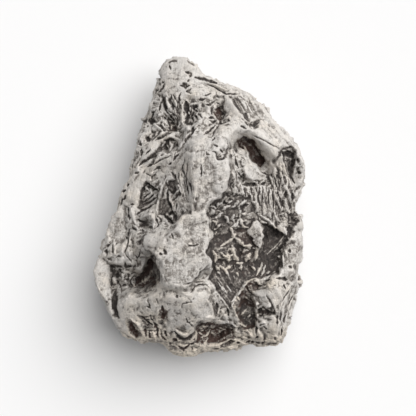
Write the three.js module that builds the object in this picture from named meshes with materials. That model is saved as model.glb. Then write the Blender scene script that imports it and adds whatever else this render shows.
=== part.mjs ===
// Iron meteorite: one solid lump of nickel iron, pitted and ridged all over, lying on its flatter side.
// Millimetres, +X to the right, +Y towards the narrow end, +Z up, origin under the middle of its box.
// Its widest level carries a fixed outline. Above that, spot heights give the broad relief, and plates,
// ridges, furrows and pits are added to it. Below, thumbprint hollows meet in ridges worn flat into feet.

import * as THREE from 'three';
import { mergeVertices } from 'three/addons/utils/BufferGeometryUtils.js';
import { ImprovedNoise } from 'three/addons/math/ImprovedNoise.js';

// ---- Driving dimensions ----
const WIDTH = 31.4; // X
const LENGTH = 45.0; // Y
const THICKNESS = 20.0; // Z
const SHOULDER_HEIGHT = 8.9; // height of the widest level above the resting plane
const SHOULDER_SWAY = 1.5; // how far that level rises and falls on the way round
const TOP_SQUARENESS = 2.8; // superellipse power of the edge above the widest level
const BASE_SQUARENESS = 2.8; // the same below it
const RIM_REACH = 0.75; // how far up and down the flanks the notches of the outline run
const SPOT_REACH = 2.3; // how far a spot height spreads
const FOOT_CUT = 0.85; // how much of the underside is worn flat where it rests
const FACET_DETAIL = 21; // 20 * 22^2 = 9,680 facets
const BASE_FACET_SHARE = 0.5; // facet density below the widest level, against 1 above it
const GRAIN = { size: 2.3, height: 0.12 }; // wavelength and height of the small unevenness
const SWELL = { size: 6.5, height: 1.0 }; // the same for the broad swells of the flanks and the underside

// ---- Outline of the widest level, clockwise from the tip ----
const OUTLINE = [
  [-3.4, 22.5], [-1.8, 22.1], [-0.6, 21.2], [0.2, 19.8], [2.0, 19.1], [4.0, 18.4], [6.6, 17.3],
  [8.4, 16.1], [9.6, 14.9], [11.0, 13.0], [12.7, 11.2], [14.1, 9.3], [15.1, 7.6], [15.6, 5.5],
  [15.2, 3.8], [14.7, 2.0], [14.2, 0.0], [14.2, -0.8], [15.2, -1.5], [15.6, -2.8], [15.3, -4.1],
  [15.7, -5.4], [15.4, -6.8], [14.9, -8.8], [14.8, -11.2], [14.2, -13.8], [13.5, -15.8],
  [13.1, -18.2], [12.4, -20.3], [11.0, -20.9], [7.2, -20.8], [5.6, -21.6], [4.2, -22.0],
  [1.4, -21.6], [-0.6, -22.5], [-2.0, -22.4], [-3.6, -22.5], [-4.7, -21.7], [-5.2, -20.5],
  [-8.2, -20.2], [-10.2, -19.6], [-12.2, -17.8], [-13.0, -16.2], [-13.8, -14.2], [-15.1, -12.0],
  [-15.75, -9.8], [-15.2, -8.2], [-14.3, -7.6], [-14.5, -6.6], [-13.8, -5.0], [-13.5, -2.8],
  [-12.1, 0.0], [-11.7, 2.2], [-10.5, 4.2], [-9.8, 7.0], [-9.4, 9.8], [-8.8, 12.0], [-7.6, 15.2],
  [-6.9, 17.0], [-6.2, 19.0], [-5.5, 21.6], [-4.6, 22.4],
];

// ---- Spot heights of the upper side: x, y and height above the resting plane ----
const SPOT_HEIGHTS = [
  // narrow end, with the fan-shaped hollow behind it
  [-3.0, 21.0, 14.6], [-3.0, 17.5, 15.6], [-6.0, 16.0, 14.4], [-3.5, 13.5, 13.6], [0.0, 16.8, 15.0],
  [2.5, 17.5, 14.4], [0.0, 12.5, 15.4], [-7.5, 12.0, 14.4], [-4.0, 11.0, 14.4],
  // bright shoulder on the right of it
  [4.0, 14.5, 16.4], [5.0, 11.5, 18.0], [7.5, 14.0, 15.4], [9.0, 11.0, 16.4], [11.5, 9.0, 15.6],
  [11.0, 11.5, 14.4], [12.0, 6.5, 14.8],
  // central plate and the ground that steps down to its left
  [0.5, 8.5, 18.4], [2.0, 5.0, 19.4], [-1.0, 2.5, 18.8], [1.5, 1.0, 19.4], [-2.0, -3.0, 19.8],
  [-6.0, -6.0, 19.2], [-1.0, -8.0, 20.0], [-3.5, -11.5, 19.4], [-4.0, 5.5, 17.2], [-4.5, 0.5, 16.6],
  [-7.5, 7.5, 15.2], [-8.5, 3.5, 15.4], [-10.5, 1.0, 14.2], [-8.5, -1.5, 16.0], [-12.0, -3.0, 14.0],
  [-10.5, -6.5, 15.6], [-13.0, -7.5, 13.6], [-14.2, -10.2, 14.4], [-12.0, -11.5, 14.0],
  // lower slab and the bottom edge
  [-9.5, -14.5, 17.0], [-6.0, -14.5, 18.4], [-2.5, -15.5, 18.6], [0.8, -14.5, 18.6],
  [-9.5, -18.0, 15.0], [-5.5, -18.5, 16.0], [-2.0, -18.5, 16.4], [-2.5, -21.5, 13.0], [2.5, -19.5, 13.0],
  [6.0, -20.0, 13.0],
  // dark basin and its rim on the right
  [3.5, -1.5, 15.6], [4.0, -6.5, 14.8], [3.5, -11.5, 15.6], [5.0, -15.5, 15.0], [7.0, -9.5, 14.2],
  [7.5, -15.0, 13.0], [8.7, -4.5, 15.8], [11.5, -6.0, 12.8], [6.0, 2.0, 16.8], [9.0, 1.0, 16.0],
  [12.0, 1.0, 14.6], [14.2, 4.5, 14.4], [14.0, -3.2, 14.6], [13.5, -8.0, 16.2], [11.0, -13.5, 17.0],
  [10.5, -17.5, 16.4], [13.2, -14.0, 14.4], [10.5, -20.0, 14.4],
];

// ---- Plates that stand up behind a steep edge: height, edge width, corners ----
const PLATES = [
  {
    height: 1.5,
    edge: 0.7,
    corners: [
      [-1.6, 9.6], [2.6, 10.4], [4.2, 9.0], [2.7, 7.2], [4.5, 7.0], [4.6, 4.6], [3.6, 2.0], [1.4, 0.6],
      [0.9, -0.8], [1.7, -2.6], [1.9, -4.4], [1.4, -6.0], [1.8, -8.0], [1.0, -9.4], [-0.4, -10.4],
      [-1.6, -12.0], [-5.6, -11.4], [-6.4, -8.6], [-8.3, -6.0], [-8.0, -3.9], [-4.4, -3.6], [-3.2, -1.8],
      [-1.4, -0.6], [-1.2, 2.0], [-1.8, 4.6], [-1.4, 7.4],
    ],
  },
  {
    height: 1.1,
    edge: 0.8,
    corners: [
      [4.4, 13.0], [5.6, 16.4], [7.2, 13.4], [9.4, 13.0], [11.6, 11.8], [13.0, 9.4], [11.6, 7.2],
      [10.6, 6.4], [7.8, 10.2], [5.6, 10.4], [3.2, 9.4], [2.2, 10.8], [3.0, 12.0],
    ],
  },
  {
    height: 1.3,
    edge: 0.7,
    corners: [
      [-12.2, -15.2], [-9.6, -12.6], [-6.8, -12.4], [-1.2, -12.8], [0.2, -11.7], [1.4, -12.0],
      [2.2, -16.6], [1.8, -17.2], [-0.8, -17.2], [-2.2, -19.6], [-4.4, -18.6], [-6.2, -18.6],
      [-8.8, -18.2], [-11.4, -17.2],
    ],
  },
  {
    height: 1.4,
    edge: 0.7,
    corners: [
      [10.0, -11.0], [12.0, -8.6], [12.2, -6.8], [13.4, -5.2], [15.0, -5.4], [14.8, -9.0], [13.6, -12.0],
      [12.6, -15.0], [11.8, -19.0], [9.0, -19.0], [8.6, -16.8], [8.5, -14.4], [7.9, -13.2], [9.8, -12.4],
    ],
  },
];

// ---- Furrows (height below zero) and ridges: half width, height, path ----
const STROKES = [
  // almond-shaped cavity in the right shoulder, and the clefts round its rim
  { half: 2.4, height: -2.8, path: [[6.6, 9.2], [8.0, 7.9], [9.2, 6.4]] },
  { half: 1.5, height: -1.5, path: [[6.2, 3.2], [8.2, 3.0], [10.0, 3.8]] },
  { half: 1.4, height: -1.1, path: [[5.6, 8.6], [4.9, 7.6], [5.2, 5.4], [6.2, 4.2]] },
  // deep cavity in the left flank, and the trenches that run out of it
  { half: 2.6, height: -4.0, path: [[-7.1, -8.4], [-6.9, -10.4], [-8.6, -11.1]] },
  { half: 1.5, height: -1.6, path: [[-9.4, -11.6], [-12.2, -12.0]] },
  { half: 1.5, height: -1.5, path: [[-13.0, -9.6], [-12.4, -12.6], [-12.7, -14.6], [-12.2, -16.4]] },
  { half: 1.4, height: -1.0, path: [[-10.4, -0.2], [-10.6, -5.6], [-10.2, -8.6]] },
  // ridges that run down the left flank, and the pockets between them
  { half: 1.5, height: 0.9, path: [[-8.8, 8.4], [-6.2, 9.6], [-3.2, 11.2], [-0.2, 12.4]] },
  { half: 1.5, height: 0.8, path: [[-10.8, 1.6], [-8.6, 4.2], [-5.6, 7.2], [-2.6, 8.8], [0.2, 10.4]] },
  { half: 1.5, height: -1.2, path: [[-5.4, 8.9], [-3.6, 9.2]] },
  { half: 1.6, height: -1.1, path: [[-8.4, 2.4], [-6.8, 1.6], [-7.8, 0.2]] },
  { half: 1.5, height: -1.2, path: [[-3.8, 4.6], [-4.2, 2.2], [-5.0, 0.4], [-4.4, -2.2]] },
  { half: 1.7, height: -0.9, path: [[-8.8, -2.6], [-7.4, -2.4]] },
  // fan-shaped hollow behind the narrow end
  { half: 1.9, height: -1.3, path: [[-4.2, 12.6], [-3.4, 11.2]] },
  { half: 1.4, height: -0.9, path: [[-5.6, 15.8], [-4.6, 12.8]] },
  { half: 1.4, height: -0.9, path: [[-1.6, 15.6], [-1.8, 12.2]] },
  // pockets beyond the shoulder
  { half: 1.9, height: -1.6, path: [[2.9, 14.2], [3.0, 13.2]] },
  { half: 1.4, height: -0.9, path: [[7.8, 12.5], [8.8, 12.2]] },
  { half: 1.5, height: -1.0, path: [[12.8, 8.0], [13.6, 6.2], [13.7, 4.4]] },
  // web of walls in the basin, with the nodule and the deep spots between them
  { half: 1.4, height: 0.8, path: [[2.2, -10.2], [4.0, -13.6], [5.6, -17.0]] },
  { half: 1.4, height: 0.8, path: [[8.2, -10.8], [6.4, -12.2], [5.0, -14.4]] },
  { half: 1.4, height: 0.7, path: [[3.2, -6.0], [5.2, -4.4], [7.8, -7.0]] },
  { half: 1.8, height: 1.4, path: [[8.5, -3.6], [9.0, -5.2]] },
  { half: 1.8, height: -1.0, path: [[10.8, -4.6], [10.8, -8.4]] },
  { half: 1.7, height: -1.0, path: [[7.2, -13.6], [7.6, -17.4]] },
  // slots between the toes at the lower right
  { half: 1.4, height: -1.4, path: [[8.8, -15.7], [11.0, -16.1]] },
  { half: 1.3, height: -0.8, path: [[11.7, -11.0], [13.2, -11.0]] },
  // pits and hollows along the lower edge
  { half: 1.6, height: -1.4, path: [[-5.4, -16.2], [-5.4, -16.9]] },
  { half: 1.5, height: -1.1, path: [[-10.4, -17.8], [-9.6, -19.0]] },
  { half: 1.6, height: -1.2, path: [[0.4, -18.4], [3.4, -19.2]] },
  { half: 1.4, height: -0.8, path: [[-0.9, -10.6], [0.6, -9.6], [1.6, -9.1]] },
];

// ---- Thumbprint hollows, which meet in blunt ridges: x, y, z, radius, depth ----
const THUMBPRINTS = [
  // underside
  [-7.6, 7.6, 0.0, 5.0, 1.6], [0.6, 13.8, 0.0, 4.6, 1.5], [8.0, 8.4, 0.0, 5.0, 1.7], [0.2, 4.2, 0.0, 3.8, 1.2],
  [-8.2, -2.6, 0.0, 4.4, 1.6], [8.6, -1.8, 0.0, 4.6, 1.6], [1.0, -4.6, 0.0, 3.4, 1.0],
  [-8.8, -12.2, 0.0, 5.0, 1.7], [0.4, -13.4, 0.0, 4.6, 1.5], [9.0, -12.0, 0.0, 4.8, 1.8],
  [-3.4, 19.4, 1.0, 4.6, 1.4], [4.4, -19.4, 0.8, 4.8, 1.5], [-4.2, -19.6, 0.8, 4.2, 1.3],
  // flanks
  [13.0, 3.8, 2.8, 4.8, 1.0], [-13.2, -6.4, 2.8, 4.8, 1.0], [-10.0, 11.2, 6.4, 5.2, 1.0],
  [-12.4, 2.6, 5.4, 4.8, 1.0], [-14.8, -11.2, 5.8, 4.6, 0.9], [-11.4, -18.2, 5.8, 4.8, 1.0],
  [-1.8, -21.8, 6.0, 4.4, 0.9], [7.6, -21.0, 5.8, 5.0, 1.0], [13.6, -16.2, 6.0, 4.8, 1.0],
  [15.2, -7.8, 5.6, 4.6, 1.0], [15.2, 1.0, 6.6, 4.6, 0.8], [12.8, 10.2, 6.0, 5.2, 1.0],
  [6.2, 17.4, 6.0, 4.8, 1.0], [-6.8, 18.0, 6.4, 4.4, 0.8], [0.4, 20.2, 5.4, 4.0, 0.8],
];

const noise = new ImprovedNoise();

/** Distance on plan from a point to a path of straight legs. */
function distanceToPath(x, y, path) {
  let nearest = Infinity;
  for (let i = 0; i + 1 < path.length; i += 1) {
    const [ax, ay] = path[i];
    const [bx, by] = path[i + 1];
    const along = ((x - ax) * (bx - ax) + (y - ay) * (by - ay)) / ((bx - ax) ** 2 + (by - ay) ** 2);
    const t = THREE.MathUtils.clamp(along, 0, 1);
    nearest = Math.min(nearest, Math.hypot(x - ax - t * (bx - ax), y - ay - t * (by - ay)));
  }
  return nearest;
}

/** Whether a point on plan is inside a closed ring of corners. */
function isInside(x, y, ring) {
  let inside = false;
  for (let i = 0, j = ring.length - 1; i < ring.length; j = i, i += 1) {
    const [ax, ay] = ring[i];
    const [bx, by] = ring[j];
    if (ay > y !== by > y && x < ax + ((y - ay) / (by - ay)) * (bx - ax)) inside = !inside;
  }
  return inside;
}

/** Share of full height at a distance from a stroke's middle: 1 there, 0 past its half width. */
function softFall(distance, half) {
  const share = Math.min(1, distance / half);
  return (1 - share * share) ** 2;
}

/** Broad height of the upper side, blended from the spot heights near a point. */
function spotHeight(x, y) {
  let total = 0;
  let weights = 0;
  for (const [sx, sy, height] of SPOT_HEIGHTS) {
    const weight = Math.exp(-((x - sx) ** 2 + (y - sy) ** 2) / (2 * SPOT_REACH ** 2)) + 1e-9;
    total += weight * height;
    weights += weight;
  }
  return total / weights;
}

/** What the plates, ridges and furrows add to the upper side at a point. */
function upperRelief(x, y) {
  let relief = 0;
  for (const { height, edge, corners } of PLATES) {
    const depthInside = distanceToPath(x, y, [...corners, corners[0]]) * (isInside(x, y, corners) ? 1 : -1);
    relief += height * (THREE.MathUtils.smoothstep(depthInside, -edge, edge) - 0.5);
  }
  for (const { half, height, path } of STROKES) relief += height * softFall(distanceToPath(x, y, path), half);
  return relief;
}

/** Radius of the outline in each of many equal steps of angle, read from a smooth closed curve. */
function outlineRadii(steps) {
  const curve = new THREE.CatmullRomCurve3(OUTLINE.map(([x, y]) => new THREE.Vector3(x, y, 0)), true);
  const radii = new Array(steps).fill(0);
  for (const point of curve.getPoints(steps * 8)) {
    const turn = (Math.atan2(point.y, point.x) / (2 * Math.PI) + 1) % 1;
    const step = Math.floor(turn * steps);
    radii[step] = Math.max(radii[step], Math.hypot(point.x, point.y));
  }
  return radii;
}

/** A ring of radii evened out over a number of neighbours on each side. */
function evened(radii, reach) {
  return radii.map((_, i) => {
    let sum = 0;
    for (let k = -reach; k <= reach; k += 1) sum += radii[(i + k + radii.length) % radii.length];
    return sum / (2 * reach + 1);
  });
}

/** Value of a ring of radii at an angle, blended between its two nearest steps. */
function ringValue(radii, angle) {
  const place = ((angle / (2 * Math.PI) + 1) % 1) * radii.length;
  const step = Math.floor(place) % radii.length;
  return THREE.MathUtils.lerp(radii[step], radii[(step + 1) % radii.length], place - Math.floor(place));
}

/**
 * The section from the crown (level 1) over the rim (level 0) to the base (level -1), as points that each
 * hold the reach from the middle, the level and the share of the surface above them.
 */
function sectionPoints(count) {
  const points = [];
  const flatness = THICKNESS / (WIDTH + LENGTH);
  let area = 0;
  for (let i = 0; i <= count; i += 1) {
    const angle = Math.PI * (0.5 - i / count);
    const power = 2 / (angle > 0 ? TOP_SQUARENESS : BASE_SQUARENESS);
    const reach = Math.abs(Math.cos(angle)) ** power;
    const level = Math.sign(angle) * Math.abs(Math.sin(angle)) ** power;
    const last = points[i - 1];
    if (last) {
      const slant = Math.hypot(reach - last.reach, 2 * flatness * (level - last.level));
      area += slant * (reach + last.reach) * (angle > 0 ? 1 : BASE_FACET_SHARE);
    }
    points.push({ reach, level, share: area });
  }
  for (const point of points) point.share /= area;
  return points;
}

/** Reach and level on the section where a given share of the surface lies above. */
function sectionAt(points, share) {
  const next = Math.max(1, points.findIndex((point) => point.share >= share));
  const before = points[next - 1];
  const t = (share - before.share) / (points[next].share - before.share || 1);
  return {
    reach: THREE.MathUtils.lerp(before.reach, points[next].reach, t),
    level: THREE.MathUtils.lerp(before.level, points[next].level, t),
  };
}

/** Presses the thumbprint that reaches deepest at a point of the flanks or the underside into it. */
function pressThumbprint(point) {
  let deepest = 0;
  const push = new THREE.Vector3();
  for (const [x, y, z, radius, depth] of THUMBPRINTS) {
    const share = Math.hypot(point.x - x, point.y - y, point.z - z) / radius;
    const pressed = depth * (1 - share * share);
    if (pressed > deepest) {
      deepest = pressed;
      push.set(-x, -y, SHOULDER_HEIGHT - z);
      if (z <= 1) push.set(0, 0, 1);
    }
  }
  point.addScaledVector(push.normalize(), deepest);
}

/** Rise and fall of one layer of unevenness at a point. */
function unevenness(point, { size, height }) {
  return height * noise.noise(point.x / size, point.y / size, point.z / size);
}

/** Moves and scales the lump so that it fills its box and rests on z = 0 over the origin. */
function fitToBox(geometry) {
  geometry.computeBoundingBox();
  const size = geometry.boundingBox.getSize(new THREE.Vector3());
  const middle = geometry.boundingBox.getCenter(new THREE.Vector3());
  geometry.translate(-middle.x, -middle.y, -geometry.boundingBox.min.z);
  geometry.scale(WIDTH / size.x, LENGTH / size.y, THICKNESS / size.z);
}

/** The whole lump as one closed geometry. */
function makeLump() {
  const geometry = new THREE.IcosahedronGeometry(1, FACET_DETAIL);
  geometry.deleteAttribute('normal');
  geometry.deleteAttribute('uv');
  const merged = mergeVertices(geometry, 1e-4);
  const position = merged.getAttribute('position');
  const section = sectionPoints(2000);
  const rim = outlineRadii(720);
  const core = evened(rim, 20);
  const point = new THREE.Vector3();
  for (let i = 0; i < position.count; i += 1) {
    point.fromBufferAttribute(position, i).normalize();
    const angle = Math.atan2(point.y, point.x);
    const { reach, level } = sectionAt(section, (1 - point.z) / 2);
    const sway = Math.sin(2 * angle + 0.6) + 0.5 * Math.sin(5 * angle);
    const shoulder = SHOULDER_HEIGHT + SHOULDER_SWAY * sway;
    const rimShare = Math.exp(-((level / RIM_REACH) ** 2));
    const radius = reach * THREE.MathUtils.lerp(ringValue(core, angle) - 0.3, ringValue(rim, angle), rimShare);
    const x = radius * Math.cos(angle);
    const y = radius * Math.sin(angle);
    let lift = unevenness(point.set(x, y, shoulder * level), GRAIN);
    if (level > 0) {
      const crown = spotHeight(x, y) + upperRelief(x, y) * Math.min(1, level / 0.55);
      point.set(x, y, shoulder + (crown - shoulder) * level);
    } else {
      lift += unevenness(point, SWELL) * Math.min(1, -level / 0.4);
      point.set(x, y, shoulder * (1 + level));
      pressThumbprint(point);
    }
    point.multiplyScalar(1 + lift / point.length());
    point.z = Math.max(point.z, FOOT_CUT);
    position.setXYZ(i, point.x, point.y, point.z);
  }
  fitToBox(merged);
  return merged;
}

const nickelIron = new THREE.MeshStandardMaterial({ color: 0xa39e98, roughness: 0.55, metalness: 0.7 });

const meteorite = new THREE.Mesh(makeLump(), nickelIron);
meteorite.name = 'meteorite';

const group = new THREE.Group();
group.add(meteorite);

export default group;
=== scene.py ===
"""Looks of a palm-sized iron meteorite: one lump of nickel iron, pitted, ridged and cracked all over.

The solid from the frame is copied, turned into an even skin and sculpted. Named regions hold the marks of
the upper side, as paths on plan in tenths of a millimetre. The flanks and the underside get marks of the
same kinds from seeded draws. Hollows keep a dark patina with painted shade over it, and high places are worn
to bare metal.
"""

import itertools
import logging
import math
from dataclasses import dataclass, field
from enum import Enum
from typing import Any

import bpy
import numpy as np
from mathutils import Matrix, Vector
from mathutils.kdtree import KDTree


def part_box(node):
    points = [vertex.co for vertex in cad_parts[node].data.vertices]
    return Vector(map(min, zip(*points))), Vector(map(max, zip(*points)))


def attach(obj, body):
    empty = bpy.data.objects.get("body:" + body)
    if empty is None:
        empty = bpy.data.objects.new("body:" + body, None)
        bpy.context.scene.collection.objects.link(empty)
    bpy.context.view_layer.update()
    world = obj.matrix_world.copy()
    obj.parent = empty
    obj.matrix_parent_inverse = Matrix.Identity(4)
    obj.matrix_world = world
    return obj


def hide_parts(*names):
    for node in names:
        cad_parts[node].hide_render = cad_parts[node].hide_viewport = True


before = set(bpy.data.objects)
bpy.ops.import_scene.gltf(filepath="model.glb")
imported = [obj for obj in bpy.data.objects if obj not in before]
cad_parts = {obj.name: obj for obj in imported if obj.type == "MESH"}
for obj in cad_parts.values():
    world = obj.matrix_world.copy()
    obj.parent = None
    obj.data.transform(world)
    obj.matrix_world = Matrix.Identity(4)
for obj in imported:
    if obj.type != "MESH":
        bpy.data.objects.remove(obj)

logging.basicConfig(level=logging.INFO, format="%(levelname)s %(message)s")
log = logging.getLogger("meteorite")

MM = 0.001
NODE = "meteorite"
BODY = "root"
PLAN_UNITS = 10  # units of a drawn path in a millimetre
EVENING = 0.85  # share of the way to its neighbours' mean that a vertex goes in one round
TINY = 1e-9

Path = tuple[int, ...]  # X and Y by turns
Colour = tuple[float, float, float, float]
Value = Any  # a wire, a number, a colour or a vector


# ------------------------ numbers over the skin


def ramp(values: np.ndarray, low: float, high: float) -> np.ndarray:
    """Smooth step from 0 at low to 1 at high.

    Args:
        values: Numbers to map.
        low: Value that becomes 0.
        high: Value that becomes 1; it may be below low.

    Returns:
        The mapped numbers, from 0 to 1.
    """
    share = np.clip((values - low) / (high - low), 0.0, 1.0)
    return share * share * (3.0 - 2.0 * share)


def bump(values: np.ndarray, width: float) -> np.ndarray:
    """Bell-shaped fall from 1 at zero, with the given half width."""
    return np.exp(-((values / width) ** 2))


class Noise:
    """Gradient noise in space from one seed, the same on every run.

    Attributes:
        period: Units after which the pattern repeats.
        gain: Factor that brings one layer to about -1 to 1.
        layer_gain: Factor that brings summed layers to about -1 to 1.
        layer_shift: Units by which each finer layer is moved against the last.
    """

    period = 256
    gain = 1.6
    layer_gain = 1.1
    layer_shift = 17.3

    def __init__(self, seed: int) -> None:
        """Draws the shuffled table and its gradients.

        Args:
            seed: Number that fixes the pattern.
        """
        draw = np.random.default_rng(seed)
        self.table = np.tile(draw.permutation(self.period), 3)
        gradients = draw.normal(size=(self.period, 3))
        self.gradients = gradients / np.linalg.norm(gradients, axis=1)[:, None]

    def single(self, points: np.ndarray) -> np.ndarray:
        """One layer of noise, about -1 to 1, with features one unit apart."""
        cell = np.floor(points).astype(int)
        rest = points - cell
        fade = rest**3 * (rest * (rest * 6 - 15) + 10)
        cell &= self.period - 1
        total = np.zeros(len(points))
        for corner in range(8):
            step = np.array([corner & 1, corner >> 1 & 1, corner >> 2])
            x, y, z = (cell + step).T
            index = self.table[self.table[self.table[x] + y] + z]
            weight = np.prod(np.where(step, fade, 1 - fade), axis=1)
            total += weight * np.einsum("ij,ij->i", self.gradients[index], rest - step)
        return total * self.gain

    def layers(self, points: np.ndarray, size: float, count: int = 3, gain: float = 0.5) -> np.ndarray:
        """Layers of noise, each half the size of the last.

        Args:
            points: Places in millimetres.
            size: Wavelength of the first layer.
            count: How many layers.
            gain: Height of each layer against the last.

        Returns:
            The summed noise, about -1 to 1.
        """
        total = np.zeros(len(points))
        height = 1.0
        for layer in range(count):
            total += height * self.single(points / size * 2**layer + self.layer_shift * layer)
            height *= gain
        return total / (2 - 2 * gain**count) * self.layer_gain

    def sway(self, points: np.ndarray, size: float, reach: float, shift: float) -> np.ndarray:
        """Small offsets that wander over space.

        Args:
            points: Places in millimetres.
            size: Wavelength.
            reach: How far the offsets go.
            shift: Units between the patterns of the three axes.

        Returns:
            Three numbers for each place.
        """
        return reach * np.stack([self.single(points / size + shift * axis) for axis in range(3)], axis=1)


class Cells:
    """Cell pattern in space from one seed, for facets.

    Attributes:
        period: Units after which the pattern repeats.
        farther: A distance above any that is found.
    """

    period = 1024
    farther = 9.0

    def __init__(self, seed: int) -> None:
        """Draws the table of cell centres and the lots of the cells."""
        draw = np.random.default_rng(seed)
        self.table = np.tile(draw.permutation(self.period), 3)
        self.centres = draw.random((self.period, 3))
        self.lots = draw.random(self.period)

    def nearest(self, place: np.ndarray) -> tuple[np.ndarray, np.ndarray, np.ndarray]:
        """What cell each place lies in.

        Args:
            place: Places, with centres about one unit apart.

        Returns:
            Distance from the cell's border, the cell's lot from 0 to 1, and the place of its centre.
        """
        cell = np.floor(place).astype(int)
        first = np.full(len(place), self.farther)
        second = np.full(len(place), self.farther)
        lot = np.zeros(len(place))
        centre = np.zeros_like(place)
        for shift in itertools.product((-1, 0, 1), repeat=3):
            step = cell + shift
            x, y, z = (step & self.period - 1).T
            index = self.table[self.table[self.table[x] + y] + z]
            middle = step + self.centres[index]
            away = middle - place
            distance = np.sqrt(np.einsum("ij,ij->i", away, away))
            closer = distance < first
            second = np.where(closer, first, np.minimum(second, distance))
            lot[closer] = self.lots[index[closer]]
            centre[closer] = middle[closer]
            first = np.where(closer, distance, first)
        return second - first, lot, centre


# ------------------------ marks and grounds


class Mark(Enum):
    """What a path does to the skin."""

    CUT = "a furrow with steep walls and a dark bed"
    RIB = "a sharp crest of bright metal"
    LEDGE = "a step, high on the left of its path and low on the right"


class Grain(Enum):
    """Texture of a ground."""

    PLATE = "smooth worn metal with a few small pits"
    SPOTTED = "worn metal full of small pits"
    CRUMBLED = "small plates at many levels, with cracks between them"
    WEB = "a hollow crossed by thin walls"
    STRIATED = "straight parallel lines"
    COMBED = "wavy lines and ribs that run one way"
    HOLLOW = "a deep dark place"


@dataclass(frozen=True)
class Stroke:
    """One mark along a path, in millimetres.

    Attributes:
        mark: What it does to the skin.
        half: Half its width.
        height: How deep or how high it is.
        path: Its points, two or three numbers each.
        tone: Strength of its dark bed or of its bright crest.
    """

    mark: Mark
    half: float
    height: float
    path: tuple[tuple[float, ...], ...]
    tone: float = 1.0


@dataclass(frozen=True)
class Ground:
    """An area on plan with one grain.

    Attributes:
        grain: Kind of texture.
        bare: How bare the metal is, 0 for dark patina and 1 for bright.
        corners: Ring of corners in tenths of a millimetre.
        way: Direction of its lines, in degrees from +X.
        soft: Width of its blended edge in millimetres.
        rust: How brown its patina is, 0 to 1.
        depth: How far it lies below its surroundings.
        relief: Height of its grain against the usual.
        level: How far it is levelled to one plane, 0 to 1.
    """

    grain: Grain
    bare: float
    corners: Path = ()
    way: float = 0.0
    soft: float = 0.5
    rust: float = 0.0
    depth: float = 0.0
    relief: float = 1.0
    level: float = 0.0


def places_of(path: Path) -> np.ndarray:
    """Points of a path or ring in millimetres, one in each row."""
    return np.array(path).reshape(-1, 2) / PLAN_UNITS


def along(
    paths: tuple[Path, ...], mark: Mark, half: float, height: float, tone: float
) -> tuple[Stroke, ...]:
    """Strokes of one kind along paths."""
    return tuple(Stroke(mark, half, height, tuple(map(tuple, places_of(path))), tone) for path in paths)


def height_of(half: float) -> float:
    """Depth of a furrow or height of a crest with the given half width, in millimetres."""
    return 0.2 + 0.7 * half


def cuts(half: float, *paths: Path, tone: float = 1.0) -> tuple[Stroke, ...]:
    """Furrows of one half width in millimetres."""
    return along(paths, Mark.CUT, half, height_of(half), tone)


def ribs(half: float, *paths: Path, tone: float = 1.0) -> tuple[Stroke, ...]:
    """Crests of one half width in millimetres."""
    return along(paths, Mark.RIB, half, height_of(half), tone)


def ledges(height: float, *paths: Path, tone: float = 1.0) -> tuple[Stroke, ...]:
    """Steps of one height in millimetres, which fade over 1.6 millimetres on both sides."""
    return along(paths, Mark.LEDGE, 1.6, height, tone)


def along_path(spots: np.ndarray, points: np.ndarray) -> tuple[np.ndarray, np.ndarray, np.ndarray]:
    """Where spots lie against a path of straight legs.

    Args:
        spots: Places, two or three numbers each.
        points: Points of the path, as many numbers each.

    Returns:
        Distance, share of the path's length, and the side (1 on the left and -1 on the right, on plan).
    """
    if len(points) == 1:
        gap = np.linalg.norm(spots - points[0], axis=1)
        return gap, np.full(len(spots), 0.5), np.ones(len(spots))
    legs = np.maximum(np.linalg.norm(np.diff(points, axis=0), axis=1), TINY)
    whole = legs.sum()
    nearest = np.full(len(spots), np.inf)
    share = np.zeros(len(spots))
    side = np.ones(len(spots))
    start = 0.0
    for a, b, leg in zip(points[:-1], points[1:], legs):
        way = (b - a) / leg
        off = spots - a
        t = np.clip(off @ way, 0, leg)
        gap = np.linalg.norm(off - t[:, None] * way, axis=1)
        closer = gap < nearest
        nearest = np.where(closer, gap, nearest)
        share = np.where(closer, (start + t) / whole, share)
        turn = way[0] * off[:, 1] - way[1] * off[:, 0]
        side = np.where(closer, np.where(turn >= 0, 1.0, -1.0), side)
        start += leg
    return nearest, share, side


def depth_inside(spots: np.ndarray, ring: np.ndarray) -> np.ndarray:
    """Distance from a ring's edge, above 0 inside it.

    Args:
        spots: Places on plan.
        ring: Its corners in millimetres.

    Returns:
        The signed distances in millimetres.
    """
    nearest = np.full(len(spots), np.inf)
    inside = np.zeros(len(spots), bool)
    for a, b in zip(ring, np.roll(ring, -1, axis=0)):
        leg = b - a
        off = spots - a
        t = np.clip(off @ leg / max(leg @ leg, TINY), 0, 1)
        nearest = np.minimum(nearest, np.linalg.norm(off - t[:, None] * leg, axis=1))
        crosses = (a[1] > spots[:, 1]) != (b[1] > spots[:, 1])
        rise = b[1] - a[1] if b[1] != a[1] else TINY
        inside ^= crosses & (spots[:, 0] < a[0] + (spots[:, 1] - a[1]) / rise * leg[0])
    return np.where(inside, nearest, -nearest)


# ------------------------ the skin


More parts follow.
